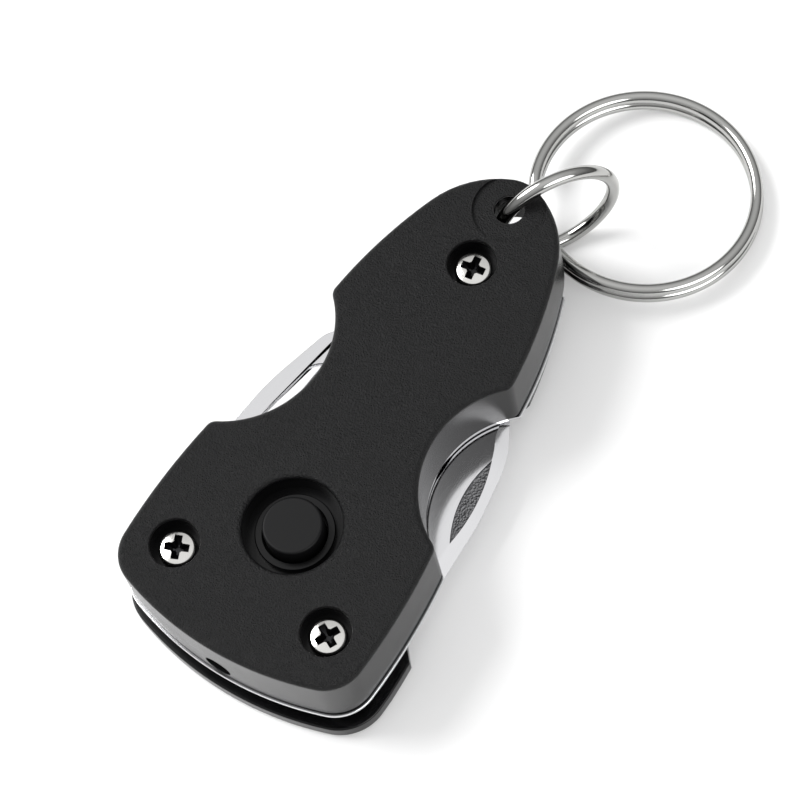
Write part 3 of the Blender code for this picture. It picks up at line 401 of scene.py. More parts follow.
cutters.append(as_object("spotface", lipped_hole(
    SPOTFACE_RADIUS, BODY_TOP_Z - SPOTFACE_DEPTH, BODY_TOP_Z, SPOTFACE_LIP, 0, RING_HOLE_Y)))
cutters.append(as_object("ring_hole", lipped_hole(
    RING_HOLE_RADIUS, COVER_LOW.z - MM, BODY_TOP_Z - SPOTFACE_DEPTH, RING_HOLE_LIP, 0, RING_HOLE_Y)))
cutters.append(as_object("chamber", lathe([
    (RING_CHAMBER_RADIUS, COVER_LOW.z - MM),
    (RING_CHAMBER_RADIUS, BODY_TOP_Z - RING_CHAMBER_DEPTH),
    (RING_CHAMBER_RADIUS - RING_CHAMBER_SLOPE, BODY_TOP_Z - RING_CHAMBER_DEPTH + RING_CHAMBER_SLOPE),
], 0, RING_HOLE_Y)))
window = as_object("window", lathe([(WINDOW_RADIUS, -3 * MM), (WINDOW_RADIUS, 3 * MM)], 0, 0, 48))
window.matrix_world = Matrix.Translation((0, WIDE_END_Y, LAMP_Z)) @ Matrix.Rotation(pi / 2, 4, "X")
cutters.append(window)
for tool in cutters[1:]:
    tool.data.materials.append(abs_plastic)
top_cover = carve(top_cover, cutters)
finish_piece(top_cover, "housing", "housing_black", "top_cover")

# ---- bottom cover ----------------------------------------------------------------
# A black ABS plate under the tools. It stands proud of the top cover at the wide end and
# tapers towards the tip, with a long thumb cut below the blade and a block for the screw.
BASE_LOW, BASE_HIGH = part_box("bottom_cover")
BASE_PLATE_TOP = 2.2 * MM
BASE_WIDE_LIP = 0.8 * MM
BASE_FRONT_INSET = 0.7 * MM
BASE_TAPER_START, BASE_TAPER_END = -25 * MM, 8 * MM
BASE_TOP_ROUND, BASE_BOTTOM_ROUND = 0.22 * MM, 0.5 * MM
THUMB_CUT_RADIUS = 30.2 * MM
TIP_BLOCK_BACK_Y = WIDE_END_Y + 51.8 * MM
TIP_BLOCK_INSET = 1.5 * MM
TIP_BLOCK_ROUND = 0.1 * MM
TIP_BLOCK_OVERLAP = 0.5 * MM
SLAB_HALF_WIDTH = 20 * MM
BEYOND_Y = 40 * MM
FLANGE_SEAT_RADIUS = 3.1 * MM
FLANGE_SEAT_Z = 1.3 * MM


def base_outline(inset):
    proud = housing_outline(inset - BASE_WIDE_LIP)
    drawn = housing_outline(inset + BASE_FRONT_INSET)
    points = []
    for (x0, y0), (x1, y1) in zip(proud, drawn):
        share = min(max((y0 - BASE_TAPER_START) / (BASE_TAPER_END - BASE_TAPER_START), 0), 1)
        points.append((x0 + (x1 - x0) * share, y0 + (y1 - y0) * share))
    return points


def slab(name, y0, y1, z0, z1, material=None):
    """A block across the whole width, to cut or clear with."""
    half = SLAB_HALF_WIDTH
    corners = [(-half, y0), (half, y0), (half, y1), (-half, y1)]
    return as_object(name, loft([(corners, z) for z in (z0, z1)]), material)


bottom_cover = as_object(
    "cover_bottom_moulded",
    rounded_top(
        base_outline, BASE_LOW.z, BASE_PLATE_TOP, BASE_TOP_ROUND, 5, BASE_BOTTOM_ROUND,
    ),
    abs_plastic,
)
block = as_object("tip_block", rounded_top(
    lambda inset: housing_outline(inset + TIP_BLOCK_INSET),
    BASE_PLATE_TOP - TIP_BLOCK_OVERLAP, BASE_HIGH.z, TIP_BLOCK_ROUND,
), abs_plastic)
block = carve(block, [slab("clear", -BEYOND_Y, TIP_BLOCK_BACK_Y, 0, ABOVE_TOOLS_Z, abs_plastic)])
bottom_cover = carve(bottom_cover, [block], "UNION")
thumb_centre = (WAIST_HALF_WIDTH + THUMB_CUT_RADIUS, WIDE_END_Y + WAIST_FROM_END)
cutters = [as_object("thumb_cut", lathe([
    (THUMB_CUT_RADIUS, -MM), (THUMB_CUT_RADIUS, BASE_PLATE_TOP + MM),
], *thumb_centre, 512))]
cutters.append(slab("ahead", BASE_HIGH.y, BEYOND_Y, -MM, ABOVE_TOOLS_Z))
for x, y in screw_places:
    cutters.append(as_object("barrel_hole", lathe([
        (FLANGE_SEAT_RADIUS, -MM), (FLANGE_SEAT_RADIUS, FLANGE_SEAT_Z),
        (BARREL_HOLE_RADIUS, FLANGE_SEAT_Z), (BARREL_HOLE_RADIUS, ABOVE_TOOLS_Z),
    ], x, y)))
for tool in cutters:
    tool.data.materials.append(abs_plastic)
bottom_cover = carve(bottom_cover, cutters)
finish_piece(bottom_cover, "housing", "housing_black", "bottom_cover")

# ---- steel liner -----------------------------------------------------------------
# A plate of bright stainless sheet, stamped to the housing's outline, that closes the
# top cover and gives the upper tools a flat face to slide on.
stainless, tree, shader, place = new_material("polished_stainless_sheet", "#E0E0E2", 0.14, 1.0)
streaks = add_node(tree, "ShaderNodeMapping", {}, {
    "Vector": place, "Scale": (1 / (0.12 * MM), 1 / (4 * MM), 1 / (0.12 * MM)),
})
brushed = add_node(tree, "ShaderNodeTexNoise", {}, {
    "Vector": streaks.outputs["Vector"], "Scale": 1.0, "Detail": 3.0,
})
rough = add_node(tree, "ShaderNodeMapRange", {}, {
    "Value": brushed.outputs["Fac"], "To Min": 0.06, "To Max": 0.17,
})
tree.links.new(rough.outputs["Result"], shader.inputs["Roughness"])
bump = add_node(tree, "ShaderNodeBump", {}, {
    "Height": brushed.outputs["Fac"], "Strength": 0.05, "Distance": 0.01 * MM,
})
tree.links.new(bump.outputs["Normal"], shader.inputs["Normal"])

LINER_LOW, LINER_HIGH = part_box("upper_liner")
LINER_LIP = 0.3 * MM
LINER_EDGE_ROUND = 0.08 * MM
LINER_WAIST_CLEARANCE = 0.12 * MM
LINER_WAIST_RADIUS = WAIST_RADIUS + LINER_WAIST_CLEARANCE
liner = as_object("liner_plate", rounded_top(
    lambda inset: housing_outline(inset - LINER_LIP),
    LINER_LOW.z, LINER_HIGH.z, LINER_EDGE_ROUND, 3, LINER_EDGE_ROUND,
), stainless)
cutters = [slab("front", LINER_HIGH.y, BEYOND_Y, 0, ABOVE_TOOLS_Z)]
for side in (-1, 1):
    cutters.append(as_object("waist", lathe([
        (LINER_WAIST_RADIUS, 0), (LINER_WAIST_RADIUS, ABOVE_TOOLS_Z),
    ], side * (WAIST_HALF_WIDTH + WAIST_RADIUS), WIDE_END_Y + WAIST_FROM_END, 256)))
for x, y in screw_places:
    cutters.append(as_object("hole", lathe([
        (BARREL_HOLE_RADIUS, 0), (BARREL_HOLE_RADIUS, ABOVE_TOOLS_Z),
    ], x, y)))
for tool in cutters:
    tool.data.materials.append(stainless)
liner = carve(liner, cutters)
finish_piece(liner, "housing", "plate_steel", "upper_liner")

# ---- folding tools: blade and opener ---------------------------------------------
# Both are stamped from stainless sheet and polished. The blade has a ground edge and a
# nail nick, and the opener is a hook with softened edges. Each turns on a steel barrel.
KNIFE_PIVOT = Vector(joints["knife_hinge"]["pos_m"])
OPENER_PIVOT = Vector(joints["opener_hinge"]["pos_m"])
BLADE_LOW, BLADE_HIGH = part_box("knife_blade")
BLADE_WIDTH = 7.0 * MM
BLADE_LENGTH = 37.4 * MM
BLADE_SPINE_X = -2.1 * MM
GRIND_WIDTH = 1.5 * MM
GRIND_START_Y = 11.5 * MM
GRIND_RISE, GRIND_FALL = 2.5 * MM, 5 * MM
SPINE_SIDE_X = -0.4 * MM
UNGROUND_DRAW = 0.05 * MM
EDGE_THICKNESS = 0.12 * MM
NICK_DEPTH = 0.34 * MM
OPENER_LENGTH = 35.4 * MM
SOFT_EDGE = 0.1 * MM


def fillet(corners, turn_step=9):
    """A closed outline from (x, y, radius) corners, each rounded by its radius."""
    points = []
    for i, (x, y, radius) in enumerate(corners):
        here = Vector((x, y))
        before = Vector(corners[i - 1][:2]) - here
        after = Vector(corners[(i + 1) % len(corners)][:2]) - here
        half_angle = before.angle(after) / 2
        if radius < 0.01 * MM or half_angle > pi / 2 - 0.01:
            points.append((x, y))
            continue
        middle = (before.normalized() + after.normalized()).normalized()
        centre = here + middle * (radius / sin(half_angle))
        touch = radius / sin(half_angle) * cos(half_angle)
        start = bearing(centre, here + before.normalized() * touch)
        stop = bearing(centre, here + after.normalized() * touch)
        turn = (stop - start + pi) % (2 * pi) - pi
        steps = max(3, round(abs(turn) / radians(turn_step)))
        points.append((centre.x + radius * cos(start), centre.y + radius * sin(start)))
        points += arc(centre, radius, start, start + turn, steps)
    return points


def drawn_in(points, amount):
    """An outline moved inwards; amount is a length or a function of each point."""
    area = sum(a[0] * b[1] - b[0] * a[1] for a, b in zip(points, points[1:] + points[:1]))
    side = 1 if area > 0 else -1
    moved = []
    for i, (x, y) in enumerate(points):
        here = Vector((x, y))
        ahead = (Vector(points[(i + 1) % len(points)]) - here).normalized()
        behind = (here - Vector(points[i - 1])).normalized()
        normal = Vector((-(ahead + behind).y, (ahead + behind).x)).normalized() * side
        stretch = 1 / max(normal.dot(Vector((-ahead.y, ahead.x)) * side), 0.5)
        step = (amount(x, y) if callable(amount) else amount) * stretch
        moved.append((x + normal.x * step, y + normal.y * step))
    return moved


def shifted(points, place):
    return [(x + place.x, y + place.y) for x, y in points]


def densified(points, longest):
    """Adds points along long straight runs, so that a taper along them stays even."""
    dense = []
    for (x0, y0), (x1, y1) in zip(points, points[1:] + points[:1]):
        steps = max(1, round(hypot(x1 - x0, y1 - y0) / longest))
        dense += [(x0 + (x1 - x0) * i / steps, y0 + (y1 - y0) * i / steps) for i in range(steps)]
    return dense


def tool_heel(side, reach):
    return [
        (-side * 3.4 * MM, -2.4 * MM, 2.2 * MM),
        (-side * 1.2 * MM, -reach, 1.6 * MM),
        (side * reach, -reach, 2.4 * MM),
    ]


def pivot_hole(pivot):
    return as_object("pivot_hole", lathe([
        (BARREL_HOLE_RADIUS, 0), (BARREL_HOLE_RADIUS, ABOVE_TOOLS_Z),
    ], pivot.x, pivot.y, 64))


# Stamped nick: a rough, pressed floor that scatters light in small specks. Its darker grey is painted
# shade for the shade in the hollow.
nick_painted_shade_steel, tree, shader, place = new_material("pressed_nick_steel", "#8A8A8C", 0.4, 1.0)
pits = add_node(tree, "ShaderNodeTexVoronoi", {}, {"Vector": place, "Scale": 1 / (0.28 * MM)})
bump = add_node(tree, "ShaderNodeBump", {}, {
    "Height": pits.outputs["Distance"], "Strength": 0.9, "Distance": 0.12 * MM,
})
tree.links.new(bump.outputs["Normal"], shader.inputs["Normal"])

blade_outline = densified(fillet(tool_heel(1, 5.2 * MM) + [
    (BLADE_WIDTH + BLADE_SPINE_X + 0.2 * MM, 12.0 * MM, 3 * MM),
    (BLADE_WIDTH + BLADE_SPINE_X - 0.1 * MM, 22.0 * MM, 14 * MM),
    (3.6 * MM, 30.0 * MM, 12 * MM),
    (-0.6 * MM, BLADE_LENGTH, 0.3 * MM),
    (BLADE_SPINE_X, BLADE_LENGTH - 7 * MM, 9 * MM),
    (BLADE_SPINE_X, 4.6 * MM, 1.5 * MM),
], 6), 0.8 * MM)


def grind(x, y):
    """How far the ground facet reaches in from the cutting edge at a point."""
    if y < GRIND_START_Y or x < SPINE_SIDE_X:
        return UNGROUND_DRAW
    rise = min((y - GRIND_START_Y) / GRIND_RISE, 1)
    fall = min(max((BLADE_LENGTH - y) / GRIND_FALL, 0.12), 1)
    return GRIND_WIDTH * rise * rise * (3 - 2 * rise) * fall + UNGROUND_DRAW


middle_z = (BLADE_LOW.z + BLADE_HIGH.z) / 2
ground = shifted(drawn_in(blade_outline, grind), KNIFE_PIVOT)
sharp = shifted(blade_outline, KNIFE_PIVOT)
blade_bm = loft([
    (ground, BLADE_LOW.z),
    (sharp, middle_z - EDGE_THICKNESS / 2),
    (sharp, middle_z + EDGE_THICKNESS / 2),
    (ground, BLADE_HIGH.z),
])
# Only the cutting edge thins down: elsewhere the wall stands straight up.
for vertex in blade_bm.verts:
    x, y = vertex.co.x - KNIFE_PIVOT.x, vertex.co.y - KNIFE_PIVOT.y
    if abs(vertex.co.z - middle_z) < 0.1 * MM and grind(x, y) < 0.06 * MM:
        upward = 1 if vertex.co.z > middle_z else -1
        vertex.co.z = middle_z + upward * (BLADE_HIGH.z - middle_z - UNGROUND_DRAW)
blade = as_object("blade_ground", blade_bm, stainless)
# The nick is a leaf with pointed ends: two arcs, the inner one bowed more.
NICK_ENDS = (Vector((3.4 * MM, 18.0 * MM)), Vector((2.1 * MM, 29.0 * MM)))
nick = []
for bow, (start, stop) in ((-1.2 * MM, NICK_ENDS), (0.7 * MM, NICK_ENDS[::-1])):
    sideways = (NICK_ENDS[1] - NICK_ENDS[0]).orthogonal().normalized()
    for i in range(24):
        spot = start.lerp(stop, i / 24) - sideways * bow * (1 - (i / 12 - 1) ** 2)
        nick.append(tuple(spot))
nick_tool = as_object("nick", loft([
    (shifted(drawn_in(nick, 0.06 * MM), KNIFE_PIVOT), BLADE_HIGH.z - NICK_DEPTH),
    (shifted(nick, KNIFE_PIVOT), BLADE_HIGH.z - 0.1 * MM),
    (shifted(nick, KNIFE_PIVOT), BLADE_HIGH.z + MM),
]), nick_painted_shade_steel)
hole_tool = pivot_hole(KNIFE_PIVOT)
hole_tool.data.materials.append(stainless)
blade = carve(blade, [hole_tool, nick_tool])
finish_piece(blade, "knife", "tool_steel", "knife_blade", crease=12)

opener_outline = fillet(tool_heel(-1, 4.8 * MM) + [
    (-5.2 * MM, 8.0 * MM, 4 * MM),
    (-6.5 * MM, 15.0 * MM, 8 * MM),
    (-5.6 * MM, 24.0 * MM, 30 * MM),
    (-2.9 * MM, 33.6 * MM, 4 * MM),
    (1.2 * MM, OPENER_LENGTH, 3 * MM),
    (3.4 * MM, 31.2 * MM, 1.4 * MM),
    (2.0 * MM, 28.6 * MM, 0.7 * MM),
    (0.2 * MM, 30.4 * MM, 1.6 * MM),
    (-2.4 * MM, 28.6 * MM, 2.4 * MM),
    (-4.0 * MM, 19.6 * MM, 4 * MM),
    (-2.2 * MM, 16.4 * MM, 1.4 * MM),
    (2.2 * MM, 17.4 * MM, 1.2 * MM),
    (3.0 * MM, 4.6 * MM, 2 * MM),
], 6)
opener = as_object("opener_stamped", rounded_top(
    lambda inset: shifted(drawn_in(opener_outline, inset), OPENER_PIVOT),
    BLADE_LOW.z, BLADE_HIGH.z, SOFT_EDGE, 3, SOFT_EDGE,
), stainless)
hole_tool = pivot_hole(OPENER_PIVOT)
hole_tool.data.materials.append(stainless)
opener = carve(opener, [hole_tool])
finish_piece(opener, "opener", "tool_steel", "bottle_opener")

# ---- folding tools: screwdrivers -------------------------------------------------
# Each is pressed from thinner sheet into a channel that opens downwards, for stiffness.
# One ends in a flat tip and the other in a cross tip with two flutes.
DRIVER_LENGTH = 33 * MM
DRIVER_TAPER = 9 * MM
CHANNEL_HALF = 2.2 * MM
CHANNEL_SHEET = 0.4 * MM
FLUTE_DEPTH = 0.25 * MM   # less than the sheet, so that the flutes don't break into the channel
DRIVER_EDGE_ROUND = 0.3 * MM
FLAT_TIP_WIDTH = 2.8 * MM
CROSS_TIP_WIDTH = 2.6 * MM
FLUTE_HALF_WEB = 0.32 * MM
TIP_CORNER = 0.5 * MM     # more than the edge's round, so that the rounded edge doesn't fold over


def driver_outline(tip_width):
    nose = DRIVER_LENGTH - DRIVER_TAPER
    half, tip = CHANNEL_HALF, tip_width / 2
    return fillet([
        (-half, -half, half * 0.9),
        (half, -half, half * 0.9),
        (half, nose, 2 * MM),
        (tip, DRIVER_LENGTH, TIP_CORNER),
        (-tip, DRIVER_LENGTH, TIP_CORNER),
        (-half, nose, 2 * MM),
    ], 6)


def make_driver(name, joint, cad_name, tip_width):
    """A channel-section screwdriver with a rounded back and a hollow underside."""
    pivot = Vector(joints[joint]["pos_m"])
    low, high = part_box(cad_name)
    outline = driver_outline(tip_width)
    driver = as_object(name, rounded_top(
        lambda inset: shifted(drawn_in(outline, inset), pivot), low.z, high.z, DRIVER_EDGE_ROUND, 5,
    ), stainless)
    inner = CHANNEL_HALF - CHANNEL_SHEET
    nose = DRIVER_LENGTH - DRIVER_TAPER
    channel = fillet([
        (-inner, -2 * CHANNEL_HALF, 0),
        (inner, -2 * CHANNEL_HALF, 0),
        (inner, nose, 1.5 * MM),
        (0.5 * MM, DRIVER_LENGTH - 2.2 * MM, 0.3 * MM),
        (-0.5 * MM, DRIVER_LENGTH - 2.2 * MM, 0.3 * MM),
        (-inner, nose, 1.5 * MM),
    ])
    tools = [as_object("channel", loft([
        (shifted(channel, pivot), low.z - MM),
        (shifted(channel, pivot), high.z - CHANNEL_SHEET - 0.2 * MM),
        (shifted(drawn_in(channel, 0.2 * MM), pivot), high.z - CHANNEL_SHEET),
    ])), pivot_hole(pivot)]
    return driver, tools, pivot, high


flat_driver, tools = make_driver(
    "driver_flat", "flat_driver_hinge", "flat_screwdriver", FLAT_TIP_WIDTH)[:2]
for tool in tools:
    tool.data.materials.append(stainless)
flat_driver = carve(flat_driver, tools)
finish_piece(flat_driver, "flat_driver", "tool_steel", "flat_screwdriver")

cross_driver, tools, pivot, high = make_driver(
    "driver_cross", "phillips_driver_hinge", "phillips_screwdriver", CROSS_TIP_WIDTH)
for side in (-1, 1):
    flute = [
        (side * FLUTE_HALF_WEB, DRIVER_LENGTH - 3.6 * MM),
        (side * 2.4 * MM, DRIVER_LENGTH - 5.2 * MM),
        (side * 2.4 * MM, DRIVER_LENGTH + MM),
        (side * FLUTE_HALF_WEB, DRIVER_LENGTH + MM),
    ]
    tools.append(as_object("flute", loft([
        (shifted(flute, pivot), z) for z in (high.z - FLUTE_DEPTH, high.z + MM)
    ])))
for tool in tools:
    tool.data.materials.append(stainless)
cross_driver = carve(cross_driver, tools)
finish_piece(cross_driver, "phillips_driver", "tool_steel", "phillips_screwdriver")

# ---- cover screws and barrels ----------------------------------------------------
# Three nickel-plated pan-head screws with cross recesses, driven into flanged steel
# barrels that carry the tools. One screw and one barrel are made, and set at each place.
HEAD_RADIUS = 2.2 * MM
HEAD_HEIGHT = 1.2 * MM
HEAD_ROUND = 0.45 * MM
SHANK_RADIUS = 0.95 * MM
BARREL_RADIUS = 1.7 * MM
BARREL_BORE_RADIUS = 1.01 * MM
BARREL_FLANGE_RADIUS = 2.8 * MM
BARREL_FLANGE_THICKNESS = 0.7 * MM
BARREL_FLANGE_EDGE = 0.18 * MM
SCREW_LOW, SCREW_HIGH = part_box("tip_screw")
BARREL_LOW, BARREL_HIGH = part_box("tip_barrel")
HEAD_TOP_Z = SCREW_HIGH.z

nickel, tree, shader, place = new_material("nickel_plated_steel", "#D6D5D2", 0.14, 1.0)
plate_tone = add_node(tree, "ShaderNodeTexNoise", {}, {"Vector": place, "Scale": 1 / (0.9 * MM)})
rough = add_node(tree, "ShaderNodeMapRange", {}, {
    "Value": plate_tone.outputs["Fac"], "To Min": 0.08, "To Max": 0.2,
})
tree.links.new(rough.outputs["Result"], shader.inputs["Roughness"])


# The punched walls of the recess lose the plating's shine. Their dark grey is painted shade, for the
# shade that falls inside the recess.
recess_shade, tree, shader, place = new_material("oiled_punched_steel", "#2A2A2B", 0.38, 1.0)
recess_roughness_noise = add_node(tree, "ShaderNodeTexNoise", {}, {"Vector": place, "Scale": 1 / (0.3 * MM)})
rough = add_node(tree, "ShaderNodeMapRange", {}, {
    "Value": recess_roughness_noise.outputs["Fac"], "To Min": 0.25, "To Max": 0.5,
})
tree.links.new(rough.outputs["Result"], shader.inputs["Roughness"])


def plus_outline(arm, half):
    points = []
    for turn in range(4):
        c, s = round(cos(turn * pi / 2)), round(sin(turn * pi / 2))
        for x, y in ((arm, -half), (arm, half), (half, half)):
            points.append((x * c - y * s, x * s + y * c))
    return points


head_low = HEAD_TOP_Z - HEAD_HEIGHT
head_profile = [(SHANK_RADIUS * 0.6, SCREW_LOW.z), (SHANK_RADIUS, SCREW_LOW.z + 0.4 * MM)]
head_profile += [(SHANK_RADIUS, head_low), (HEAD_RADIUS - 0.1 * MM, head_low)]
head_profile.append((HEAD_RADIUS, head_low + 0.12 * MM))
for i in range(9):
    a = pi / 2 * i / 8
    head_profile.append((
        HEAD_RADIUS - HEAD_ROUND + HEAD_ROUND * cos(a),
        HEAD_TOP_Z - 0.6 * MM + HEAD_ROUND * sin(a),
    ))
head_profile += [(1.3 * MM, HEAD_TOP_Z - 0.05 * MM), (0.5 * MM, HEAD_TOP_Z)]
screw_template = as_object("screw", lathe(head_profile, 0, 0, 64), nickel)
cross = as_object("cross", loft([
    (plus_outline(0.6 * MM, 0.1 * MM), HEAD_TOP_Z - 1.0 * MM),
    (plus_outline(1.2 * MM, 0.3 * MM), HEAD_TOP_Z - 0.5 * MM),
    (plus_outline(1.52 * MM, 0.5 * MM), HEAD_TOP_Z + 0.05 * MM),
]), recess_shade)
socket = as_object("socket", lathe([
    (0.3 * MM, HEAD_TOP_Z - 1.05 * MM), (0.85 * MM, HEAD_TOP_Z + 0.1 * MM),
], 0, 0, 32), recess_shade)
screw_template = carve(screw_template, [cross, socket])
# Faces cut by the cross and the socket are marked, so that they take the painted shade.
recess = screw_template.data.attributes.new("recess", "BOOLEAN", "FACE")
finishes = [slot.material for slot in screw_template.material_slots]
for face in screw_template.data.polygons:
    recess.data[face.index].value = finishes[face.material_index] is recess_shade
screw_template.data.shade_smooth()
screw_template.data.set_sharp_from_angle(angle=radians(28))

flange_top = BARREL_LOW.z + BARREL_FLANGE_THICKNESS
barrel_template = as_object("barrel", lathe([
    (BARREL_FLANGE_RADIUS - BARREL_FLANGE_EDGE, BARREL_LOW.z),
    (BARREL_FLANGE_RADIUS, BARREL_LOW.z + BARREL_FLANGE_EDGE),
    (BARREL_FLANGE_RADIUS, flange_top),
    (BARREL_RADIUS, flange_top), (BARREL_RADIUS, BARREL_HIGH.z),
], 0, 0, 64), nickel)
bore = as_object("bore", lathe([
    (1.25 * MM, -MM), (BARREL_BORE_RADIUS, BARREL_LOW.z + 0.24 * MM),
    (BARREL_BORE_RADIUS, BARREL_HIGH.z + MM),
], 0, 0, 48), nickel)
barrel_template = carve(barrel_template, [bore])
barrel_template.data.shade_smooth()
barrel_template.data.set_sharp_from_angle(angle=radians(28))


def set_at_places(name, template, places, turns, material, inner):
    """Geometry nodes that set one template at each place, turned by its own angle.

    Faces that carry the template's "recess" attribute take the inner finish.
    """
    points = bpy.data.meshes.new(name)
    points.from_pydata([(x, y, 0) for x, y in places], [], [])
    turned = points.attributes.new("turn", "FLOAT", "POINT")
    for i, turn in enumerate(turns):
        turned.data[i].value = turn
    item = bpy.data.objects.new(name, points)
    bpy.context.scene.collection.objects.link(item)
    tree = bpy.data.node_groups.new(name, "GeometryNodeTree")
    tree.interface.new_socket("Geometry", in_out="INPUT", socket_type="NodeSocketGeometry")
    tree.interface.new_socket("Piece", in_out="INPUT", socket_type="NodeSocketObject")
    tree.interface.new_socket("Finish", in_out="INPUT", socket_type="NodeSocketMaterial")
    tree.interface.new_socket("Inner finish", in_out="INPUT", socket_type="NodeSocketMaterial")
    tree.interface.new_socket("Geometry", in_out="OUTPUT", socket_type="NodeSocketGeometry")
    entry = add_node(tree, "NodeGroupInput", {}, {})
    held = add_node(tree, "GeometryNodeObjectInfo", {}, {"Object": entry.outputs["Piece"]})
    turn = add_node(tree, "GeometryNodeInputNamedAttribute", {"data_type": "FLOAT"}, {"Name": "turn"})
    spin = add_node(tree, "ShaderNodeCombineXYZ", {}, {"Z": turn.outputs["Attribute"]})
    copies = add_node(tree, "GeometryNodeInstanceOnPoints", {}, {
        "Points": entry.outputs["Geometry"],
        "Instance": held.outputs["Geometry"],
        "Rotation": spin.outputs["Vector"],
    })
    real = add_node(tree, "GeometryNodeRealizeInstances", {}, {
        "Geometry": copies.outputs["Instances"],
    })
    painted = add_node(tree, "GeometryNodeSetMaterial", {}, {
        "Geometry": real.outputs["Geometry"], "Material": entry.outputs["Finish"],
    })
    marked = add_node(tree, "GeometryNodeInputNamedAttribute", {"data_type": "BOOLEAN"}, {
        "Name": "recess",
    })
    lined = add_node(tree, "GeometryNodeSetMaterial", {}, {
        "Geometry": painted.outputs["Geometry"],
        "Selection": marked.outputs["Attribute"],
        "Material": entry.outputs["Inner finish"],
    })
    add_node(tree, "NodeGroupOutput", {}, {"Geometry": lined.outputs["Geometry"]})
    modifier = item.modifiers.new("set at places", "NODES")
    modifier.node_group = tree
    sockets = {s.name: s.identifier for s in tree.interface.items_tree if s.in_out == "INPUT"}
    modifier[sockets["Piece"]] = template
    modifier[sockets["Finish"]] = material
    modifier[sockets["Inner finish"]] = inner
    item.data.update()
    bpy.context.view_layer.update()
    result = baked(item)
    bpy.data.objects.remove(template)
    return result


screws = set_at_places(
    "cover_screws", screw_template, screw_places, [radians(a) for a in (24, 62, 8)],
    nickel, recess_shade)
finish_piece(screws, "housing", "screw_steel", *screw_nodes, crease=28)
barrels = set_at_places(
    "screw_barrels", barrel_template, screw_places, [0, 0, 0], nickel, nickel)
finish_piece(
    barrels, "housing", "plate_steel",
    "left_pivot_barrel", "right_pivot_barrel", "tip_barrel", crease=28,
)

# ---- push button -----------------------------------------------------------------
# A matt black cap that stands in the well on a hidden flange. Pressing it closes the
# switch under it.
soft_plastic, tree, shader, place = new_material(
    "matt_moulded_button", "#0A0A0B", 0.5, Specular_IOR_Level=0.16)
haze = add_node(tree, "ShaderNodeTexNoise", {}, {
    "Vector": place, "Scale": 1 / (0.35 * MM), "Detail": 2.0,
})
bump = add_node(tree, "ShaderNodeBump", {}, {
    "Height": haze.outputs["Fac"], "Strength": 0.12, "Distance": 0.03 * MM,
})
tree.links.new(bump.outputs["Normal"], shader.inputs["Normal"])

CAP_RADIUS = 3.45 * MM
CAP_EDGE = 0.32 * MM
CAP_BORE_RADIUS = 2.65 * MM
FLANGE_THICKNESS = 0.7 * MM
FLANGE_BELOW_FLOOR = 1.2 * MM
CAP_ROOF = 1.2 * MM
FLANGE_RADIUS = (button_high.x - button_low.x) / 2
flange_top_z = WELL_FLOOR_Z - FLANGE_BELOW_FLOOR
cap_profile = [
    (CAP_BORE_RADIUS, flange_top_z - FLANGE_THICKNESS),
    (FLANGE_RADIUS, flange_top_z - FLANGE_THICKNESS),
    (FLANGE_RADIUS, flange_top_z),
    (CAP_RADIUS, flange_top_z),
]
for i in range(8):
    a = pi / 2 * i / 7
    cap_profile.append((
        CAP_RADIUS - CAP_EDGE * (1 - cos(a)),
        button_high.z - CAP_EDGE + CAP_EDGE * sin(a),
    ))
button = as_object("button_cap", lathe(cap_profile, 0, BUTTON_Y, 128), soft_plastic)
underside = as_object("underside", lathe([
    (CAP_BORE_RADIUS, 0), (CAP_BORE_RADIUS, button_high.z - CAP_ROOF),
], 0, BUTTON_Y, 64), soft_plastic)
button = carve(button, [underside])
finish_piece(button, "button", "button_black", "push_button")

# ---- lamp ------------------------------------------------------------------------
# A 3 mm light-emitting diode: a clear epoxy bullet over a small metal cup, with a
# flange at its back. It looks out through the window in the wide end.
epoxy, tree, shader, place = new_material(
    "clear_cast_epoxy", "#F2F5F8", 0.04, 0.0, IOR=1.5, Transmission_Weight=1.0)
haze = add_node(tree, "ShaderNodeTexNoise", {}, {"Vector": place, "Scale": 1 / (1.2 * MM)})
rough = add_node(tree, "ShaderNodeMapRange", {}, {
    "Value": haze.outputs["Fac"], "To Min": 0.02, "To Max": 0.09,
})
tree.links.new(rough.outputs["Result"], shader.inputs["Roughness"])

LAMP_RADIUS = 1.5 * MM
LAMP_FLANGE_RADIUS = 1.7 * MM
lamp_length = lamp_high.y - lamp_low.y
lamp_profile = [
    (LAMP_FLANGE_RADIUS, 0), (LAMP_FLANGE_RADIUS, 0.7 * MM), (LAMP_RADIUS, 0.8 * MM),
]
for i in range(12):
    a = pi / 2 * i / 12
    lamp_profile.append((LAMP_RADIUS * cos(a), lamp_length - LAMP_RADIUS + LAMP_RADIUS * sin(a)))
lamp_profile.append((0.06 * MM, lamp_length))
lamp = as_object("lamp_bullet", lathe(lamp_profile, 0, 0, 64), epoxy)
towards_window = Matrix.Translation((0, lamp_high.y, LAMP_Z)) @ Matrix.Rotation(pi / 2, 4, "X")
lamp.data.transform(towards_window)
finish_piece(lamp, "housing", "lamp_clear", "led_lamp")

tin, tree, shader, place = new_material("tin_plated_strip", "#C9C6BE", 0.3, 1.0)
worn = add_node(tree, "ShaderNodeTexNoise", {}, {"Vector": place, "Scale": 1 / (0.6 * MM)})
rough = add_node(tree, "ShaderNodeMapRange", {}, {
    "Value": worn.outputs["Fac"], "To Min": 0.22, "To Max": 0.42,
})
tree.links.new(rough.outputs["Result"], shader.inputs["Roughness"])

cup = as_object("lamp_cup", lathe([
    (0.5 * MM, 0.9 * MM), (0.55 * MM, lamp_length - 2.1 * MM), (0.95 * MM, lamp_length - 1.5 * MM),
    (0.86 * MM, lamp_length - 1.5 * MM), (0.3 * MM, lamp_length - 2.0 * MM),
], 0, 0, 32), tin)
cup.data.transform(towards_window)
finish_piece(cup, "housing", "contact_tin")

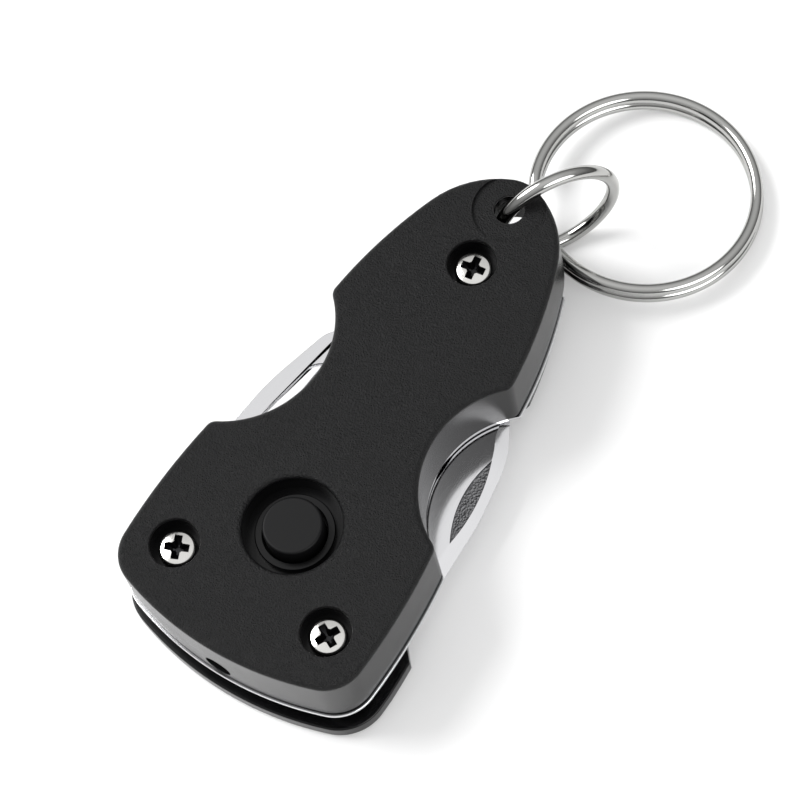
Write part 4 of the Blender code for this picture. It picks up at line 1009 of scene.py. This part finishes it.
# ---- inside the top cover --------------------------------------------------------
# The circuit board, its switch, the lamp's legs, two coin cells, their spring contacts
# and the moulded tray are closed in, and keep the plain shapes that the fits need.
solder_mask, tree, shader, place = new_material("green_solder_mask", "#1F5C3C", 0.35)
weave = add_node(tree, "ShaderNodeTexChecker", {}, {"Vector": place, "Scale": 1 / (0.5 * MM)})
bump = add_node(tree, "ShaderNodeBump", {}, {
    "Height": weave.outputs["Fac"], "Strength": 0.1, "Distance": 0.01 * MM,
})
tree.links.new(bump.outputs["Normal"], shader.inputs["Normal"])
inner_finishes = {
    "circuit_board": solder_mask,
    "tact_switch": nickel,
    "lamp_leg_left": tin,
    "lamp_leg_right": tin,
    "coin_cell_1": nickel,
    "coin_cell_2": nickel,
    "negative_contact": tin,
    "positive_contact": tin,
    "battery_tray": abs_plastic,
    "centre_spacer": abs_plastic,
}
for node_name, finish in inner_finishes.items():
    node = cad[node_name]
    node.data.materials.clear()
    node.data.materials.append(finish)

# ---- rings -----------------------------------------------------------------------
# Round nickel-plated wire. The jump ring stands in the tip's hole with a butted joint,
# and the key ring is one wire coiled twice that climbs a thickness between its turns.
JUMP_WIRE = 1.65 * MM
JUMP_HALF_WIDTH = 7.4 * MM
JUMP_HALF_HEIGHT = 7.6 * MM
JUMP_REACH = 5.45 * MM
JUMP_CENTRE_Z = JUMP_WIRE / 2 + JUMP_HALF_HEIGHT
JUMP_SPLIT = radians(2.4)
JUMP_STEPS = 144
KEY_WIRE = 1.5 * MM
KEY_MEAN_RADIUS = 13.15 * MM
COIL_PITCH = KEY_WIRE + 0.08 * MM
CLIMB_MIDDLE = radians(200)
CLIMB_HALF_ANGLE = radians(15)
COIL_END_ANGLE = radians(18)
COIL_STEPS = 336
flap = joints["key_ring_flap"]
heading = Vector((-flap["axis"][1], flap["axis"][0]))
crossing = Vector(flap["pos_m"])

ring_nickel, tree, shader, place = new_material("nickel_plated_wire", "#ADADAB", 0.1, 1.0)
drawn = add_node(tree, "ShaderNodeTexNoise", {}, {"Vector": place, "Scale": 1 / (1.5 * MM)})
rough = add_node(tree, "ShaderNodeMapRange", {}, {
    "Value": drawn.outputs["Fac"], "To Min": 0.05, "To Max": 0.16,
})
tree.links.new(rough.outputs["Result"], shader.inputs["Roughness"])


def along_path(name, points, radius, material, sides=32):
    """Geometry nodes that run a round wire along a path of points."""
    path = bpy.data.meshes.new(name)
    path.from_pydata(points, [(i, i + 1) for i in range(len(points) - 1)], [])
    item = bpy.data.objects.new(name, path)
    bpy.context.scene.collection.objects.link(item)
    tree = bpy.data.node_groups.new(name, "GeometryNodeTree")
    tree.interface.new_socket("Geometry", in_out="INPUT", socket_type="NodeSocketGeometry")
    tree.interface.new_socket("Wire radius", in_out="INPUT", socket_type="NodeSocketFloat")
    tree.interface.new_socket("Sides", in_out="INPUT", socket_type="NodeSocketInt")
    tree.interface.new_socket("Finish", in_out="INPUT", socket_type="NodeSocketMaterial")
    tree.interface.new_socket("Geometry", in_out="OUTPUT", socket_type="NodeSocketGeometry")
    entry = add_node(tree, "NodeGroupInput", {}, {})
    curve = add_node(tree, "GeometryNodeMeshToCurve", {}, {"Mesh": entry.outputs["Geometry"]})
    section = add_node(tree, "GeometryNodeCurvePrimitiveCircle", {}, {
        "Resolution": entry.outputs["Sides"], "Radius": entry.outputs["Wire radius"],
    })
    swept = add_node(tree, "GeometryNodeCurveToMesh", {}, {
        "Curve": curve.outputs["Curve"], "Profile Curve": section.outputs["Curve"],
        "Fill Caps": True,
    })
    real = add_node(tree, "GeometryNodeRealizeInstances", {}, {"Geometry": swept.outputs["Mesh"]})
    painted = add_node(tree, "GeometryNodeSetMaterial", {}, {
        "Geometry": real.outputs["Geometry"], "Material": entry.outputs["Finish"],
    })
    add_node(tree, "NodeGroupOutput", {}, {"Geometry": painted.outputs["Geometry"]})
    modifier = item.modifiers.new("wire", "NODES")
    modifier.node_group = tree
    sockets = {s.name: s.identifier for s in tree.interface.items_tree if s.in_out == "INPUT"}
    modifier[sockets["Wire radius"]] = radius
    modifier[sockets["Sides"]] = sides
    modifier[sockets["Finish"]] = material
    path.update()
    bpy.context.view_layer.update()
    result = baked(item)
    bm = bmesh.new()
    bm.from_mesh(result.data)
    bmesh.ops.recalc_face_normals(bm, faces=bm.faces[:])
    bm.to_mesh(result.data)
    bm.free()
    return result


jump_points = []
for i in range(JUMP_STEPS + 1):
    a = pi + JUMP_SPLIT / 2 + (2 * pi - JUMP_SPLIT) * i / JUMP_STEPS
    reach = JUMP_REACH + JUMP_HALF_WIDTH * cos(a)
    z = JUMP_CENTRE_Z + JUMP_HALF_HEIGHT * sin(a)
    jump_points.append((heading.x * reach, RING_HOLE_Y + heading.y * reach, z))
jump_ring = along_path("ring_jump", jump_points, JUMP_WIRE / 2 * 0.995, ring_nickel)
finish_piece(jump_ring, "jump_ring", "ring_steel", "jump_ring", crease=50)

far_z = KEY_WIRE / 2 + COIL_PITCH / 2
tilt = atan2(crossing.z - far_z, 2 * KEY_MEAN_RADIUS)
coil_points = []
for i in range(COIL_STEPS + 1):
    a = CLIMB_MIDDLE + COIL_END_ANGLE + (4 * pi - 2 * COIL_END_ANGLE) * i / COIL_STEPS
    climb = min(max((a - CLIMB_MIDDLE - 2 * pi) / CLIMB_HALF_ANGLE / 2 + 0.5, 0), 1)
    lift = COIL_PITCH * (climb * climb * (3 - 2 * climb) - 0.5)
    along = KEY_MEAN_RADIUS * cos(a) + KEY_MEAN_RADIUS
    across = KEY_MEAN_RADIUS * sin(a)
    coil_points.append((
        crossing.x + heading.x * along + heading.y * across,
        crossing.y + heading.y * along - heading.x * across,
        crossing.z + lift - along * tilt,
    ))
key_ring = along_path("ring_key", coil_points, KEY_WIRE / 2 * 0.99, ring_nickel)
finish_piece(key_ring, "key_ring", "ring_steel", "key_ring", crease=50)

# ---- studio ----------------------------------------------------------------------
# A white table, a bright tent of light that is dimmer near the horizon, a soft key from
# the left, a weaker fill from the right, and a long lens that looks down from the right.
paper, tree, shader, place = new_material("white_table_paper", "#F4F4F4", 0.8)
floor = as_object("floor", loft([
    ([(-3, -3), (3, -3), (3, 3), (-3, 3)], z) for z in (-0.01, 0.0)
]), paper)

world = bpy.data.worlds.new("light tent")
bpy.context.scene.world = world
world.use_nodes = True
tree = world.node_tree
background = tree.nodes["Background"]
toward = add_node(tree, "ShaderNodeTexCoord", {}, {}).outputs["Generated"]
up = add_node(tree, "ShaderNodeSeparateXYZ", {}, {"Vector": toward}).outputs["Z"]
tent = add_node(tree, "ShaderNodeValToRGB", {}, {"Fac": up})
ramp = tent.color_ramp
ramp.interpolation = "EASE"
for spot, grey in zip(ramp.elements, (0.12, 1.35)):
    spot.color = (grey, grey, grey, 1)
for position, grey in ((0.22, 0.3), (0.5, 0.6), (0.8, 1.0)):
    ramp.elements.new(position).color = (grey, grey, grey, 1)
tree.links.new(tent.outputs["Color"], background.inputs["Color"])
background.inputs["Strength"].default_value = 0.78


def softbox(name, place, aim, size, power):
    lamp_data = bpy.data.lights.new(name, "AREA")
    lamp_data.shape = "DISK"
    lamp_data.size = size
    lamp_data.energy = power
    light = bpy.data.objects.new(name, lamp_data)
    bpy.context.scene.collection.objects.link(light)
    light.location = place
    direction = Vector(aim) - Vector(place)
    light.rotation_euler = direction.to_track_quat("-Z", "Y").to_euler()


softbox("key", (-0.6, -0.08, 0.62), (0, 0.01, 0), 0.6, 8.0)
softbox("fill", (0.55, -0.1, 0.35), (0, 0.01, 0), 0.5, 2.4)

camera_data = bpy.data.cameras.new("camera")
camera = bpy.data.objects.new("camera", camera_data)
bpy.context.scene.collection.objects.link(camera)
camera_data.sensor_width = 36
camera_data.lens = 134.38
camera_data.clip_start = 0.01
camera_data.clip_end = 20
camera.location = (0.1069, -0.0906, 0.31895)
camera.rotation_euler = (radians(23.77), radians(6.888), radians(33.127))
bpy.context.scene.camera = camera
bpy.context.scene.view_settings.view_transform = "Standard"
